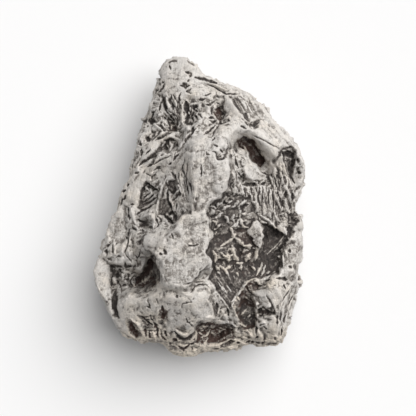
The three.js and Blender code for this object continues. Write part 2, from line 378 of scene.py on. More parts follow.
@dataclass
class Skin:
    """Working surface in millimetres, with its tones.

    Attributes:
        points: Places of the vertices.
        edges: Pairs of vertices.
        faces: Rings of four vertices.
        degree: Number of each vertex's neighbours.
        height: Relief still to be pressed into the points.
        lift: How far a vertex still has to rise to its ground's plane.
        tone: Authored tone, below 0 for patina and painted shade, and above 0 for bare metal.
        bare: Base bareness of the ground; after sculpting it also holds the painted shade of hollows.
        rust: Brownness of the patina.
        upward: How far a vertex belongs to the upper side, 0 to 1.
    """

    points: np.ndarray
    edges: np.ndarray
    faces: np.ndarray
    degree: np.ndarray = field(init=False)
    height: np.ndarray = field(init=False)
    lift: np.ndarray = field(init=False)
    tone: np.ndarray = field(init=False)
    bare: np.ndarray = field(init=False)
    rust: np.ndarray = field(init=False)
    upward: np.ndarray = field(init=False)

    def __post_init__(self) -> None:
        """Counts each vertex's neighbours and clears the tones."""
        count = len(self.points)
        self.degree = np.bincount(self.edges.ravel(), minlength=count).astype(float)
        self.height, self.lift, self.tone, self.rust, self.upward = np.zeros((5, count))
        self.bare = np.full(count, 0.72)

    @classmethod
    def of(cls, piece: bpy.types.Object) -> "Skin":
        """Reads a piece's mesh.

        Args:
            piece: Object whose mesh is in millimetres.

        Returns:
            Its surface.
        """
        mesh = piece.data
        points = np.zeros(len(mesh.vertices) * 3)
        mesh.vertices.foreach_get("co", points)
        edges = np.zeros(len(mesh.edges) * 2, int)
        mesh.edges.foreach_get("vertices", edges)
        corners = np.zeros(len(mesh.loops), int)
        mesh.loops.foreach_get("vertex_index", corners)
        return cls(points.reshape(-1, 3), edges.reshape(-1, 2), corners.reshape(-1, 4))

    def spread(self, values: np.ndarray, rounds: int) -> np.ndarray:
        """Evens values out over neighbours.

        Args:
            values: One number or three for each vertex.
            rounds: How often each vertex moves towards its neighbours' mean.

        Returns:
            The evened values.
        """
        count = len(self.points)
        first, second = self.edges.T
        columns = []
        for column in values.reshape(count, -1).T:
            for _ in range(rounds):
                total = np.bincount(first, column[second], count)
                total += np.bincount(second, column[first], count)
                column = column + EVENING * (total / self.degree - column)
            columns.append(column)
        return np.stack(columns, axis=1).reshape(values.shape)

    def normals(self, rounds: int = 0) -> np.ndarray:
        """Outward directions of the vertices, evened out over some rounds."""
        a, b, c, d = (self.points[ring] for ring in self.faces.T)
        across = np.cross(c - a, d - b)
        total = np.zeros_like(self.points)
        for ring, axis in itertools.product(self.faces.T, range(3)):
            total[:, axis] += np.bincount(ring, across[:, axis], len(self.points))
        total = self.spread(total, rounds)
        return total / np.maximum(np.linalg.norm(total, axis=1), TINY)[:, None]

    def hollowness(self, rounds: int) -> np.ndarray:
        """How far each vertex lies below the evened surface, in millimetres, above 0 in hollows."""
        return np.einsum("ij,ij->i", self.spread(self.points, rounds) - self.points, self.normals(4))


# ------------------------ sculpting


class Near:
    """Finds the spots in a box quickly."""

    def __init__(self, spots: np.ndarray) -> None:
        """Sorts the spots by their first number.

        Args:
            spots: Places, two or three numbers each.
        """
        self.order = np.argsort(spots[:, 0], kind="stable")
        self.spots = spots[self.order]

    def box(self, low: np.ndarray, high: np.ndarray) -> np.ndarray:
        """Numbers of the spots between two corners.

        Args:
            low: Lowest corner.
            high: Highest corner.

        Returns:
            Their places in the list of spots.
        """
        start, stop = np.searchsorted(self.spots[:, 0], (low[0], high[0]))
        part = self.spots[start:stop, 1:]
        return self.order[start:stop][np.all((part > low[1:]) & (part < high[1:]), axis=1)]


@dataclass
class Print:
    """What strokes do to each vertex.

    Attributes:
        deepest: Depth of the deepest furrow.
        highest: Height of the highest crest.
        steps: Sum of the ledges' steps.
        dark: Strongest dark tone: patina in furrow beds, and painted shade at the feet of ledges and crests.
        bright: Strongest bright tone.
    """

    deepest: np.ndarray
    highest: np.ndarray
    steps: np.ndarray
    dark: np.ndarray
    bright: np.ndarray

    @classmethod
    def clear(cls, count: int) -> "Print":
        """A print without marks."""
        return cls(*np.zeros((5, count)))

    def reach(self, name: str, index: np.ndarray, values: np.ndarray) -> None:
        """Lifts one of the arrays to the given values where it is below them."""
        whole = getattr(self, name)
        whole[index] = np.maximum(whole[index], values)

    def add_ledge(
        self, stroke: Stroke, index: np.ndarray, strength: np.ndarray, signed: np.ndarray, share: np.ndarray
    ) -> None:
        """Adds a step with a bright edge and painted shade at its foot.

        Args:
            stroke: The ledge.
            index: Vertices near it.
            strength: Strength of its tones.
            signed: Distance from its path, above 0 on the high side.
            share: Share of its length.
        """
        ends = ramp(share, 0.0, 0.12) * ramp(share, 1.0, 0.88)
        fade = bump(signed, stroke.half) * ends
        self.steps[index] += stroke.height * 0.5 * np.tanh(signed / 0.14) * fade
        # painted shade: a dark band along the low side, at the foot of the step
        self.reach("dark", index, strength * bump(signed + 0.24, 0.24) * ends)
        self.reach("bright", index, 0.6 * strength * bump(signed - 0.2, 0.2) * ends)

    def add_cut(self, stroke: Stroke, index: np.ndarray, strength: np.ndarray, fall: np.ndarray) -> None:
        """Adds a furrow with a dark bed and a thin bright lip.

        Args:
            stroke: The furrow.
            index: Vertices near it.
            strength: Strength of its tones.
            fall: Distance from its path against its half width.
        """
        lip = bump(fall - 1.3, 0.3)
        self.reach("deepest", index, stroke.height * ramp(fall, 1.0, 0.25))
        self.reach("highest", index, 0.12 * lip * min(1.0, stroke.height))
        self.reach("dark", index, strength * ramp(fall, 1.2, 0.5))
        self.reach("bright", index, 0.35 * strength * lip)

    def add_rib(self, stroke: Stroke, index: np.ndarray, strength: np.ndarray, fall: np.ndarray) -> None:
        """Adds a crest with a seam of painted shade at its foot.

        Args:
            stroke: The crest.
            index: Vertices near it.
            strength: Strength of its tones.
            fall: Distance from its path against its half width.
        """
        self.reach("highest", index, stroke.height * np.clip(1 - fall, 0, 1) ** 0.8)
        self.reach("bright", index, strength * ramp(fall, 1.05, 0.35))
        # painted shade: a dark band round the foot of the crest
        self.reach("dark", index, 0.3 * strength * bump(fall - 1.5, 0.3))


@dataclass(frozen=True)
class Sculptor:
    """Presses grains and strokes into the skin.

    Attributes:
        waver: How far paths wander from their points, in millimetres.
        fray: How far the edges of grounds stray, in millimetres.
        sink: Millimetres that one unit of a ground's depth lowers it.
        lift_range: How far a ground may sink and rise to reach its plane, in millimetres.
        least_share: Share of a ground below which it is left out.
        plane_share: Share of a ground from which a place counts for its plane.
        plane_rounds: How often the plane is laid again without the places far below it.
        far_below: Height above the plane under which a place is left out, in millimetres.
        relief_of: Share of their height that crests, ledges and furrows get.
        tones_of: Tone that bright and dark marks get.
        seed: Number that fixes every pattern.
    """

    waver: float = 0.09
    fray: float = 0.30
    sink: float = 1.7
    lift_range: tuple[float, float] = (-1.5, 4.0)
    least_share: float = 0.002
    plane_share: float = 0.05
    plane_rounds: int = 4
    far_below: float = -0.4
    relief_of: tuple[float, float, float] = (1.5, 1.7, 1.2)
    tones_of: tuple[float, float] = (2.0, 1.6)
    seed: int = 41

    @property
    def noise(self) -> Noise:
        """Noise of this sculptor."""
        return Noise(self.seed)

    def wander(self, points: np.ndarray) -> np.ndarray:
        """Points moved by small wandering offsets, so that drawn marks lose their straightness.

        Args:
            points: Places in millimetres.

        Returns:
            The moved places.
        """
        sway = self.noise.sway
        return points + sway(points, 1.4, self.waver, 40.0) + sway(points, 0.5, 0.3 * self.waver, 9.0)

    def frayed(self, plan: np.ndarray) -> np.ndarray:
        """How far the edge of a ground strays at each place on plan, in millimetres."""
        places = np.column_stack([plan, np.zeros(len(plan))])
        return self.fray * self.noise.layers(places + 60, 0.9, 3, 0.65)

    def turned(self, points: np.ndarray, way: float) -> np.ndarray:
        """Points in axes that run along and across a direction on plan.

        Args:
            points: Places in millimetres.
            way: Direction in degrees from +X.

        Returns:
            How far each lies along it, across it and up.
        """
        turn = math.radians(way)
        along = points @ np.array([math.cos(turn), math.sin(turn), 0.0])
        across = points @ np.array([-math.sin(turn), math.cos(turn), 0.0])
        return np.stack([along, across, points[:, 2]], axis=1)

    def lines(self, points: np.ndarray, way: float, width: float, length: float, warp: float) -> np.ndarray:
        """Noise drawn out along one direction on plan.

        Args:
            points: Places in millimetres.
            way: Direction of the lines, in degrees from +X.
            width: Distance between lines.
            length: How long a line runs.
            warp: How far it wavers.

        Returns:
            The noise, about -1 to 1.
        """
        place = self.turned(points, way)
        place[:, 1] += warp * self.noise.layers(points, 2.4, 3)
        return self.noise.layers(place / (length, width, length), 1.0, 3, 0.6)

    def crests(self, points: np.ndarray, way: float, width: float, length: float) -> np.ndarray:
        """Thin wavering crests along one direction on plan.

        Args:
            points: Places in millimetres.
            way: Direction in degrees from +X.
            width: Distance between crests.
            length: How long a crest runs.

        Returns:
            Near 1 on a crest and about 0 between crests.
        """
        place = self.turned(points, way)
        place[:, 1] += 0.3 * self.noise.layers(points + 25, 1.5, 2)
        fold = np.abs(self.noise.single(place / (length, width, length) + 5.0))
        finer = np.abs(self.noise.single(place / (0.5 * length, 0.45 * width, 0.5 * length) + 50.0))
        thick = (1 - np.clip(fold / 0.55, 0, 1)) ** 2
        thin = 0.7 * (1 - np.clip(finer / 0.5, 0, 1)) ** 2
        return np.maximum(thick, thin)

    def facets(
        self, points: np.ndarray, size: float, way: float, stretch: float, swing: float, seed: int
    ) -> tuple[np.ndarray, np.ndarray, np.ndarray]:
        """Swells broken into flat facets, drawn out along one direction on plan.

        Args:
            points: Places in millimetres.
            size: Width of a facet.
            way: Direction in degrees from +X.
            stretch: Length of a facet against its width.
            swing: Height of the swells.
            seed: Number that picks the pattern.

        Returns:
            Height in millimetres, the facet's lot from 0 to 1 and the distance from its border.
        """
        noise = self.noise
        place = self.turned(points, way) / (stretch * size, size, size)
        bent = place + noise.sway(points, 0.9 * size, 0.30, 13.0)
        bent += noise.sway(points, 0.36 * size, 0.10, 29.0)
        border, lot, centre = Cells(self.seed + seed).nearest(bent)
        keys = centre[:, 0] + 97.0 * centre[:, 1] + 97.0**2 * centre[:, 2]
        _, pick, cell = np.unique(keys, return_index=True, return_inverse=True)
        middles = centre[pick] / 2.3 + seed
        level = noise.single(middles)
        rises = [noise.single(middles + shift) - level for shift in 0.1 * np.eye(3)]
        slope = np.stack(rises, axis=1) / (0.1 * 2.3)
        height = level[cell] + np.einsum("ij,ij->i", slope[cell], np.clip(place - centre, -1.0, 1.0))
        return swing * height, lot, border * size

    def grain(self, ground: Ground, points: np.ndarray) -> tuple[np.ndarray, np.ndarray]:
        """Relief and tone of a ground's grain.

        Args:
            ground: The ground.
            points: Places in millimetres.

        Returns:
            Height in millimetres and tone, below 0 darker and above 0 brighter.
        """
        height, tone = np.zeros(len(points)), np.zeros(len(points))
        for part in GRAINS[ground.grain]:
            raised, toned = part.shape(self, points, ground.way)
            height += raised
            tone += toned
        return height * ground.relief, tone * ground.relief

    def lay(self, skin: Skin, ground: Ground, share: np.ndarray) -> None:
        """Blends a ground over the skin.

        Args:
            skin: Surface that takes it.
            ground: The ground.
            share: How far the ground holds at each vertex, 0 to 1.
        """
        inside = np.flatnonzero(share > self.least_share)
        if not len(inside):
            return
        points = skin.points[inside]
        height, tone = self.grain(ground, points)
        part = share[inside]
        if ground.level:
            spots = np.column_stack([np.ones(len(points)), points[:, :2]])
            held = sure = part > self.plane_share
            for _ in range(self.plane_rounds):
                plane = np.linalg.lstsq(spots[sure], points[sure, 2], rcond=None)[0]
                above = points[:, 2] - spots @ plane
                sure = held & (above > self.far_below)
            lift = np.clip(-ground.level * above, *self.lift_range)
            skin.lift[inside] += part * (lift - skin.lift[inside])
        skin.height[inside] += part * (height - self.sink * ground.depth - skin.height[inside])
        skin.tone[inside] += part * (tone - skin.tone[inside])
        skin.bare[inside] += part * (ground.bare - skin.bare[inside])
        skin.rust[inside] += part * (ground.rust - skin.rust[inside])

    def ground_share(self, near: Near, ground: Ground, plan: np.ndarray) -> np.ndarray:
        """How far each vertex lies in a ground, 0 to 1.

        Args:
            near: Finder for the places on plan.
            ground: The ground.
            plan: Places on plan.

        Returns:
            The shares.
        """
        ring = places_of(ground.corners)
        index = near.box(ring.min(axis=0) - ground.soft, ring.max(axis=0) + ground.soft)
        share = np.zeros(len(plan))
        inside = depth_inside(plan[index], ring) + self.frayed(plan[index])
        share[index] = ramp(inside, -ground.soft, ground.soft)
        return share

    def press(self, skin: Skin, strokes: list[Stroke], spots: np.ndarray, open_share: np.ndarray) -> None:
        """Presses strokes into the skin, furrows by the deepest and crests by the highest.

        Args:
            skin: Surface that takes them.
            strokes: The marks.
            spots: Wandering places, as many numbers each as the paths' points have.
            open_share: How far marks hold at each vertex, 0 to 1.
        """
        print_of = Print.clear(len(skin.points))
        widths = 1 + 0.5 * self.noise.layers(skin.points, 0.8, 2)
        ragged = 0.55 * self.noise.layers(skin.points + 150, 0.42, 2)
        fading = 0.85 + 0.5 * self.noise.layers(skin.points + 90, 0.6, 2)
        near = Near(spots)
        for stroke in strokes:
            path = np.array(stroke.path, float)
            reach = stroke.half * 2.1 + 0.3
            index = near.box(path.min(axis=0) - reach, path.max(axis=0) + reach)
            index = index[open_share[index] > 0.01]
            if not len(index):
                continue
            gap, share, side = along_path(spots[index], path)
            strength = stroke.tone * fading[index]
            if stroke.mark is Mark.LEDGE:
                print_of.add_ledge(stroke, index, strength, gap * side, share)
                continue
            taper = 1.0
            if len(path) > 1:
                taper = 0.4 + 0.6 * ramp(share, 0.0, 0.25) * ramp(share, 1.0, 0.75)
            fall = np.maximum(gap / (stroke.half * taper * widths[index]) + ragged[index], 0.0)
            if stroke.mark is Mark.CUT:
                print_of.add_cut(stroke, index, strength * (0.6 if len(path) == 1 else 1.0), fall)
            else:
                print_of.add_rib(stroke, index, strength, fall)
        keep = 1 - np.clip(print_of.dark, 0, 1)
        crest, step, furrow = self.relief_of
        bright, dark = self.tones_of
        skin.height += open_share * (
            crest * print_of.highest * keep + step * print_of.steps - furrow * print_of.deepest
        )
        skin.tone += open_share * (bright * print_of.bright * keep - dark * print_of.dark)


# ------------------------ grains


@dataclass(frozen=True)
class Part:
    """One ingredient of a grain.

    Attributes:
        height: Millimetres that it adds where it is full.
        tone: Tone that it adds there, below 0 darker and above 0 brighter.
    """

    height: float = 0.0
    tone: float = 0.0

    def pattern(self, sculptor: Sculptor, points: np.ndarray, way: float) -> np.ndarray:
        """Strength of the ingredient at each place."""
        raise NotImplementedError

    def shape(self, sculptor: Sculptor, points: np.ndarray, way: float) -> tuple[np.ndarray, np.ndarray]:
        """What the ingredient adds.

        Args:
            sculptor: Maker of the patterns.
            points: Places in millimetres.
            way: Direction of the ground's lines, in degrees from +X.

        Returns:
            Height in millimetres and tone.
        """
        strength = self.pattern(sculptor, points, way)
        return self.height * strength, self.tone * strength


@dataclass(frozen=True)
class Rough(Part):
    """Fine roughness all over, about -1 to 1."""

    def pattern(self, sculptor: Sculptor, points: np.ndarray, way: float) -> np.ndarray:
        """Fine layers of noise."""
        return sculptor.noise.layers(points, 0.9, 3, 0.65)


@dataclass(frozen=True)
class Patches(Part):
    """Cloudy patches, about -1 to 1."""

    def pattern(self, sculptor: Sculptor, points: np.ndarray, way: float) -> np.ndarray:
        """Broad layers of noise."""
        return sculptor.noise.layers(points + 70, 1.5, 4, 0.65)


@dataclass(frozen=True)
class Dips(Part):
    """Small pits, 1 at their beds.

    Attributes:
        shift: Millimetres by which their noise is moved.
        start: Noise above which they begin.
    """

    shift: float = 60.0
    start: float = 0.22

    def pattern(self, sculptor: Sculptor, points: np.ndarray, way: float) -> np.ndarray:
        """Peaks of a noise."""
        return ramp(sculptor.noise.layers(points + self.shift, 1.1, 3, 0.6), self.start, 0.5)


@dataclass(frozen=True)
class Streaks(Part):
    """Parallel lines, about -1 to 1.

    Attributes:
        width: Distance between lines in millimetres.
        length: How long a line runs.
        warp: How far it wavers.
    """

    width: float = 0.42
    length: float = 2.6
    warp: float = 0.35

    def pattern(self, sculptor: Sculptor, points: np.ndarray, way: float) -> np.ndarray:
        """Noise drawn out along the ground's direction."""
        return sculptor.lines(points, way, self.width, self.length, self.warp)


@dataclass(frozen=True)
class Crests(Part):
    """Thin crests.

    Attributes:
        width: Distance between crests in millimetres.
        length: How long a crest runs.
        level: Share of a crest's height that adds no tone.
    """

    width: float = 1.0
    length: float = 2.0
    level: float = 0.0

    def shape(self, sculptor: Sculptor, points: np.ndarray, way: float) -> tuple[np.ndarray, np.ndarray]:
        """Height and tone, the tone below 0 between crests."""
        crests = sculptor.crests(points, way, self.width, self.length)
        return self.height * crests, self.tone * (crests - self.level)


@dataclass(frozen=True)
class Picked(Part):
    """Facets that stand out from the others by their lot.

    Attributes:
        start: Lot at which they begin.
        full: Lot from which they are full.
        border: How far from its border a facet is full, in millimetres.
    """

    start: float = 0.0
    full: float = 0.0
    border: float = 0.1


@dataclass(frozen=True)
class Facets(Part):
    """Flat facets, each raised and toned by its own lot.

    Attributes:
        size: Width of a facet in millimetres.
        stretch: Its length against its width.
        swing: Height of the swells that it breaks up, in millimetres.
        seed: Number that picks the pattern.
        turn: Degrees between the facets and the ground's direction.
        picked: Facets that stand out, if any.
    """

    size: float = 1.0
    stretch: float = 1.0
    swing: float = 0.0
    seed: int = 0
    turn: float = 0.0
    picked: Picked | None = None

    def shape(self, sculptor: Sculptor, points: np.ndarray, way: float) -> tuple[np.ndarray, np.ndarray]:
        """Height and tone of the facets."""
        swell, lot, border = sculptor.facets(
            points, self.size, way + self.turn, self.stretch, self.swing, self.seed
        )
        height = swell + self.height * (lot - 0.5)
        tone = self.tone * (lot - 0.5)
        if self.picked:
            share = ramp(lot, self.picked.start, self.picked.full) * ramp(border, 0.0, self.picked.border)
            height += self.picked.height * share
            tone += self.picked.tone * share
        return height, tone


GRAINS: dict[Grain, tuple[Part, ...]] = {
    Grain.PLATE: (
        Facets(0.0, 0.2, size=2.4, stretch=1.4, swing=0.3, seed=9),
        Facets(0.03, 0.25, size=0.8, stretch=1.7, swing=0.1, seed=13),
        Rough(0.03, 0.0),
        Patches(0.0, 0.7),
        Streaks(0.0, 0.4),
        Dips(-0.08, -0.4),
    ),
    Grain.SPOTTED: (
        Facets(0.0, 0.5, size=1.5, stretch=1.4, swing=0.6, seed=10),
        Facets(0.2, 0.6, size=0.7, stretch=1.8, swing=0.3, seed=14),
        Rough(0.06, 0.5),
        Crests(0.12, 0.3, width=1.1, length=2.0),
        Dips(-0.2, -0.45, shift=80.0, start=0.16),
    ),
    Grain.CRUMBLED: (
        Facets(0.5, 0.7, 1.15, 2.4, 1.1, 3, picked=Picked(-0.4, -0.5, start=0.24, full=0.18, border=0.16)),
        Facets(0.2, 0.6, size=0.55, stretch=2.0, swing=0.4, seed=4),
        Rough(0.0, 0.3),
        Crests(0.3, 1.0, width=0.95, length=2.6, level=0.3),
    ),
    Grain.WEB: (
        Facets(0.5, 0.5, 1.1, 1.9, 0.9, 5, picked=Picked(-0.45, -0.6, start=0.42, full=0.34, border=0.14)),
        Facets(0.0, 0.5, 0.62, 1.9, 0.4, 6, 40.0, Picked(0.45, 1.4, start=0.76, full=0.8)),
        Crests(0.45, 0.8, width=1.5, length=1.9, level=0.4375),
    ),
    Grain.STRIATED: (
        Facets(0.0, 0.25, size=1.6, stretch=4.0, swing=0.35, seed=11),
        Rough(0.03, 0.3),
        Streaks(0.16, 0.8, width=0.32, length=4.5, warp=0.15),
    ),
    Grain.COMBED: (
        Facets(0.3, 0.6, size=0.52, stretch=4.6, swing=0.4, seed=7),
        Facets(0.0, 0.35, size=1.3, stretch=2.6, swing=0.75, seed=12),
        Rough(0.0, 0.2),
        Crests(0.3, 1.1, width=0.7, length=3.4, level=0.35),
    ),
    Grain.HOLLOW: (
        Facets(0.0, 0.55, size=0.9, stretch=1.8, swing=0.7, seed=8),
        Rough(0.05, 0.3),
        Crests(0.25, 0.7, width=1.2, length=2.4, level=0.25),
    ),
}


# ------------------------ regions of the upper side


@dataclass(frozen=True)
class Region:
    """A named part of the upper side, drawn on plan in tenths of a millimetre.

    Attributes:
        title: Name for the log.
        grounds: Its grounds, later ones over earlier ones.
        strokes: Its marks.
    """

    title: str = "region"
    grounds: tuple[Ground, ...] = ()
    strokes: tuple[Stroke, ...] = ()


@dataclass(frozen=True)
class NarrowEnd(Region):
    """The knob at the narrow end, its neck, and the fan of furrows behind it."""

    title: str = "narrow end"
    grounds: tuple[Ground, ...] = (
        Ground(Grain.PLATE, 0.86, soft=0.6, level=0.2, corners=(
            -58, 228, -6, 228, 6, 200, 30, 184, 50, 174, 34, 154, 8, 164, -25, 159, -68, 170,
        )),
        Ground(Grain.CRUMBLED, 0.72, soft=0.5, corners=(
            -78, 156, -64, 172, -46, 166, -62, 136, -88, 122, -92, 136,
        )),
        Ground(Grain.COMBED, 0.44, way=108, soft=0.4, corners=(
            -60, 162, -48, 170, -34, 168, -26, 159, -29, 114, -44, 109, -60, 115, -64, 136,
        )),
        Ground(Grain.COMBED, 0.4, way=62, soft=0.4, corners=(
            -24, 160, -4, 156, 8, 132, -10, 119, -22, 122, -26, 140,
        )),
        Ground(Grain.CRUMBLED, 0.5, (-86, 130, -66, 138, -56, 124, -66, 112, -89, 112), soft=0.4),
        Ground(Grain.SPOTTED, 0.62, (6, 166, 20, 172, 32, 172, 34, 160, 14, 152, -2, 156), soft=0.4),
        Ground(Grain.HOLLOW, 0.16, soft=0.3, depth=0.1, rust=0.45, level=0.8, corners=(
            -45, 127, -33, 126, -30, 112, -37, 106, -46, 112,
        )),
    )
    strokes: tuple[Stroke, ...] = (
        *cuts(0.15, (-28, 170, -31, 166, -31, 156), (7, 166, 17, 170)),
        *cuts(
            0.2, (-15, 191, -18, 187), (-14, 182, -18, 180), (-13, 177, -19, 172, -13, 170),
            (-29, 182, -25, 181), (-56, 158, -60, 143), (-12, 148, -3, 143), (-9, 138, -2, 130),
            (-2, 140, 4, 133), (-13, 136, -9, 128), (-77, 128, -69, 123),
            (-64, 123, -57, 120, -53, 116, -46, 118), (9, 154, 15, 152, 22, 158),
        ),
        *cuts(
            0.26, (-49, 215, -42, 219, -35, 220), (-40, 217, -34, 220), (-45, 212, -44, 206),
            (-21, 202, -13, 199, -15, 194), tone=0.6,
        ),
        *cuts(
            0.26, (-61, 186, -59, 182), (-56, 187, -55, 185), (-53, 184, -55, 178, -59, 173, -62, 171),
            (-62, 176, -69, 169), (-41, 166, -44, 159, -40, 152, -39, 146), (-56, 168, -51, 152, -50, 143),
            (-18, 142, -17, 136, -21, 124), (-19, 122, -11, 126), (-8, 119, -12, 112), (-43, 136, -41, 132),
            (-42, 127, -38, 124), (-54, 133, -51, 130), (-82, 129, -80, 126), (-1, 160, 7, 160), (-71, 112),
        ),
        *cuts(0.34, (-18, 220, -9, 212), tone=0.6),
        *cuts(
            0.34, (-7, 194, 13, 189, 26, 185), (-13, 150, -3, 151), (-41, 121, -34, 112),
            (-54, 114, -47, 114),
        ),
        *cuts(0.45, (-24, 185, -21, 181, -21, 177), (-21, 157, -18, 140), (-73, 132, -69, 125)),
        *ribs(0.15, (-6, 139, 1, 130)),
        *ribs(0.2, (-48, 163, -45, 144), (-36, 160, -35, 150), (-53, 142, -40, 130), (-49, 145, -42, 139)),
        *ribs(0.26, (2, 185, 12, 185, 22, 183, 32, 177, 41, 174), (-70, 175, -64, 178), tone=0.6),
        *ribs(0.26, (-26, 152, -26, 128, -24, 122), (-59, 128, -52, 125, -46, 120), (-62, 134, -55, 139)),
        *ribs(0.34, (-28, 113, -10, 120, -2, 125, 6, 132)),
    )


@dataclass(frozen=True)
class Shoulder(Region):
    """The bright shoulder at the upper right, its dark facets and the almond-shaped cavity."""

    title: str = "shoulder"
    grounds: tuple[Ground, ...] = (
        Ground(Grain.STRIATED, 0.76, way=-50, soft=0.5, relief=0.7, corners=(
            34, 188, 75, 174, 104, 146, 134, 110, 154, 74, 134, 84, 70, 164, 42, 172,
        )),
        Ground(Grain.PLATE, 0.88, soft=0.35, relief=0.9, corners=(
            9, 154, 22, 154, 38, 170, 51, 160, 54, 144, 66, 126, 74, 120, 90, 132, 120, 108, 140, 86,
            122, 64, 106, 50, 98, 74, 84, 96, 68, 106, 54, 102, 49, 92, 24, 94, 16, 108, 28, 122, 18, 134,
            6, 136,
        )),
        Ground(Grain.STRIATED, 0.48, way=-62, soft=0.22, level=0.85, corners=(
            48, 166, 59, 165, 70, 150, 76, 134, 74, 126, 56, 146, 51, 154,
        )),
        Ground(Grain.STRIATED, 0.58, way=-60, soft=0.3, level=0.8, corners=(
            69, 160, 86, 156, 96, 138, 92, 130, 75, 132, 70, 148,
        )),
        Ground(Grain.STRIATED, 0.78, way=-46, soft=0.3, relief=0.7, level=0.7, corners=(
            90, 130, 122, 106, 138, 88, 126, 82, 112, 98, 88, 118,
        )),
        Ground(Grain.HOLLOW, 0.3, (73, 122, 79, 128, 91, 131, 89, 119, 81, 114), soft=0.2, depth=0.15),
        Ground(Grain.CRUMBLED, 0.5, (20, 148, 36, 154, 46, 138, 49, 124, 34, 119, 22, 124), soft=0.3),
        Ground(Grain.HOLLOW, 0.16, soft=0.2, depth=0.3, rust=0.7, corners=(
            21, 140, 26, 146, 30, 148, 33, 142, 35, 132, 34, 125, 30, 124, 26, 132, 21, 136,
        )),
        Ground(Grain.HOLLOW, 0.16, soft=0.22, depth=0.35, rust=0.8, relief=0.8, corners=(
            55, 101, 63, 102, 67, 105, 72, 101, 79, 99, 98, 73, 96, 60, 90, 57, 85, 60, 75, 72, 71, 86,
            64, 85, 59, 89,
        )),
        Ground(Grain.PLATE, 0.84, soft=0.25, level=0.6, corners=(
            67, 76, 72, 73, 85, 56, 100, 44, 94, 35, 80, 36, 69, 44, 66, 58,
        )),
        Ground(Grain.COMBED, 0.34, way=100, soft=0.3, depth=0.25, corners=(
            119, 74, 126, 84, 136, 88, 144, 84, 144, 68, 136, 40, 128, 40, 126, 64,
        )),
    )
    strokes: tuple[Stroke, ...] = (
        *cuts(0.15, (81, 106, 95, 100, 105, 94, 116, 89, 120, 86), tone=0.4),
        *cuts(
            0.15, (11, 183, 22, 180, 28, 175, 40, 169, 47, 170, 61, 169), (63, 131, 72, 121),
            (60, 121, 70, 116), (12, 105, 19, 105), (23, 105, 22, 102, 19, 99),
        ),
        *cuts(
            0.2, (69, 142, 74, 131), (81, 117, 87, 120), (14, 132, 19, 134, 22, 130),
            (15, 129, 20, 126, 26, 127), (23, 122, 17, 116, 5, 107), (42, 128, 46, 129), (25, 156, 29, 154),
            (19, 106, 22, 114, 29, 122), (59, 92, 64, 88),
        ),
        *cuts(0.26, (81, 39, 90, 37, 95, 40), tone=0.4),
        *cuts(
            0.26, (75, 123, 83, 122, 89, 126), (44, 137, 41, 133), (60, 100, 71, 99, 81, 92, 95, 71),
            (99, 36, 92, 33), (138, 70, 138, 43, 142, 35), (118, 73),
        ),
        *cuts(0.34, (63, 33, 76, 34, 86, 32), (148, 68), (149, 50)),
        *cuts(0.45, (124, 76, 133, 82), (133, 82, 138, 74)),
        *ledges(0.3, (36, 170, 39, 160, 37, 146, 44, 139), (22, 152, 20, 144, 20, 136)),
        *ledges(
            0.6, (75, 124, 50, 154, 48, 166), (56, 93, 55, 100, 63, 103, 67, 106, 79, 100, 88, 90, 97, 75,
            98, 64, 94, 58), (140, 88, 126, 83, 119, 72, 110, 62),
        ),
        *ribs(0.15, (31, 146, 36, 143)),
        *ribs(
            0.2, (33, 136, 39, 133), (66, 91, 70, 86, 71, 80, 70, 74), (144, 58, 142, 50),
            (120, 68, 122, 45),
        ),
        *ribs(
            0.26, (70, 73, 73, 71), (74, 70, 78, 63, 92, 49, 100, 46), (140, 90, 146, 82),
            (141, 72, 148, 76), (142, 60, 152, 62),
        ),
        *ribs(0.45, (12, 151, 16, 144, 17, 137), (153, 55), tone=0.6),
    )


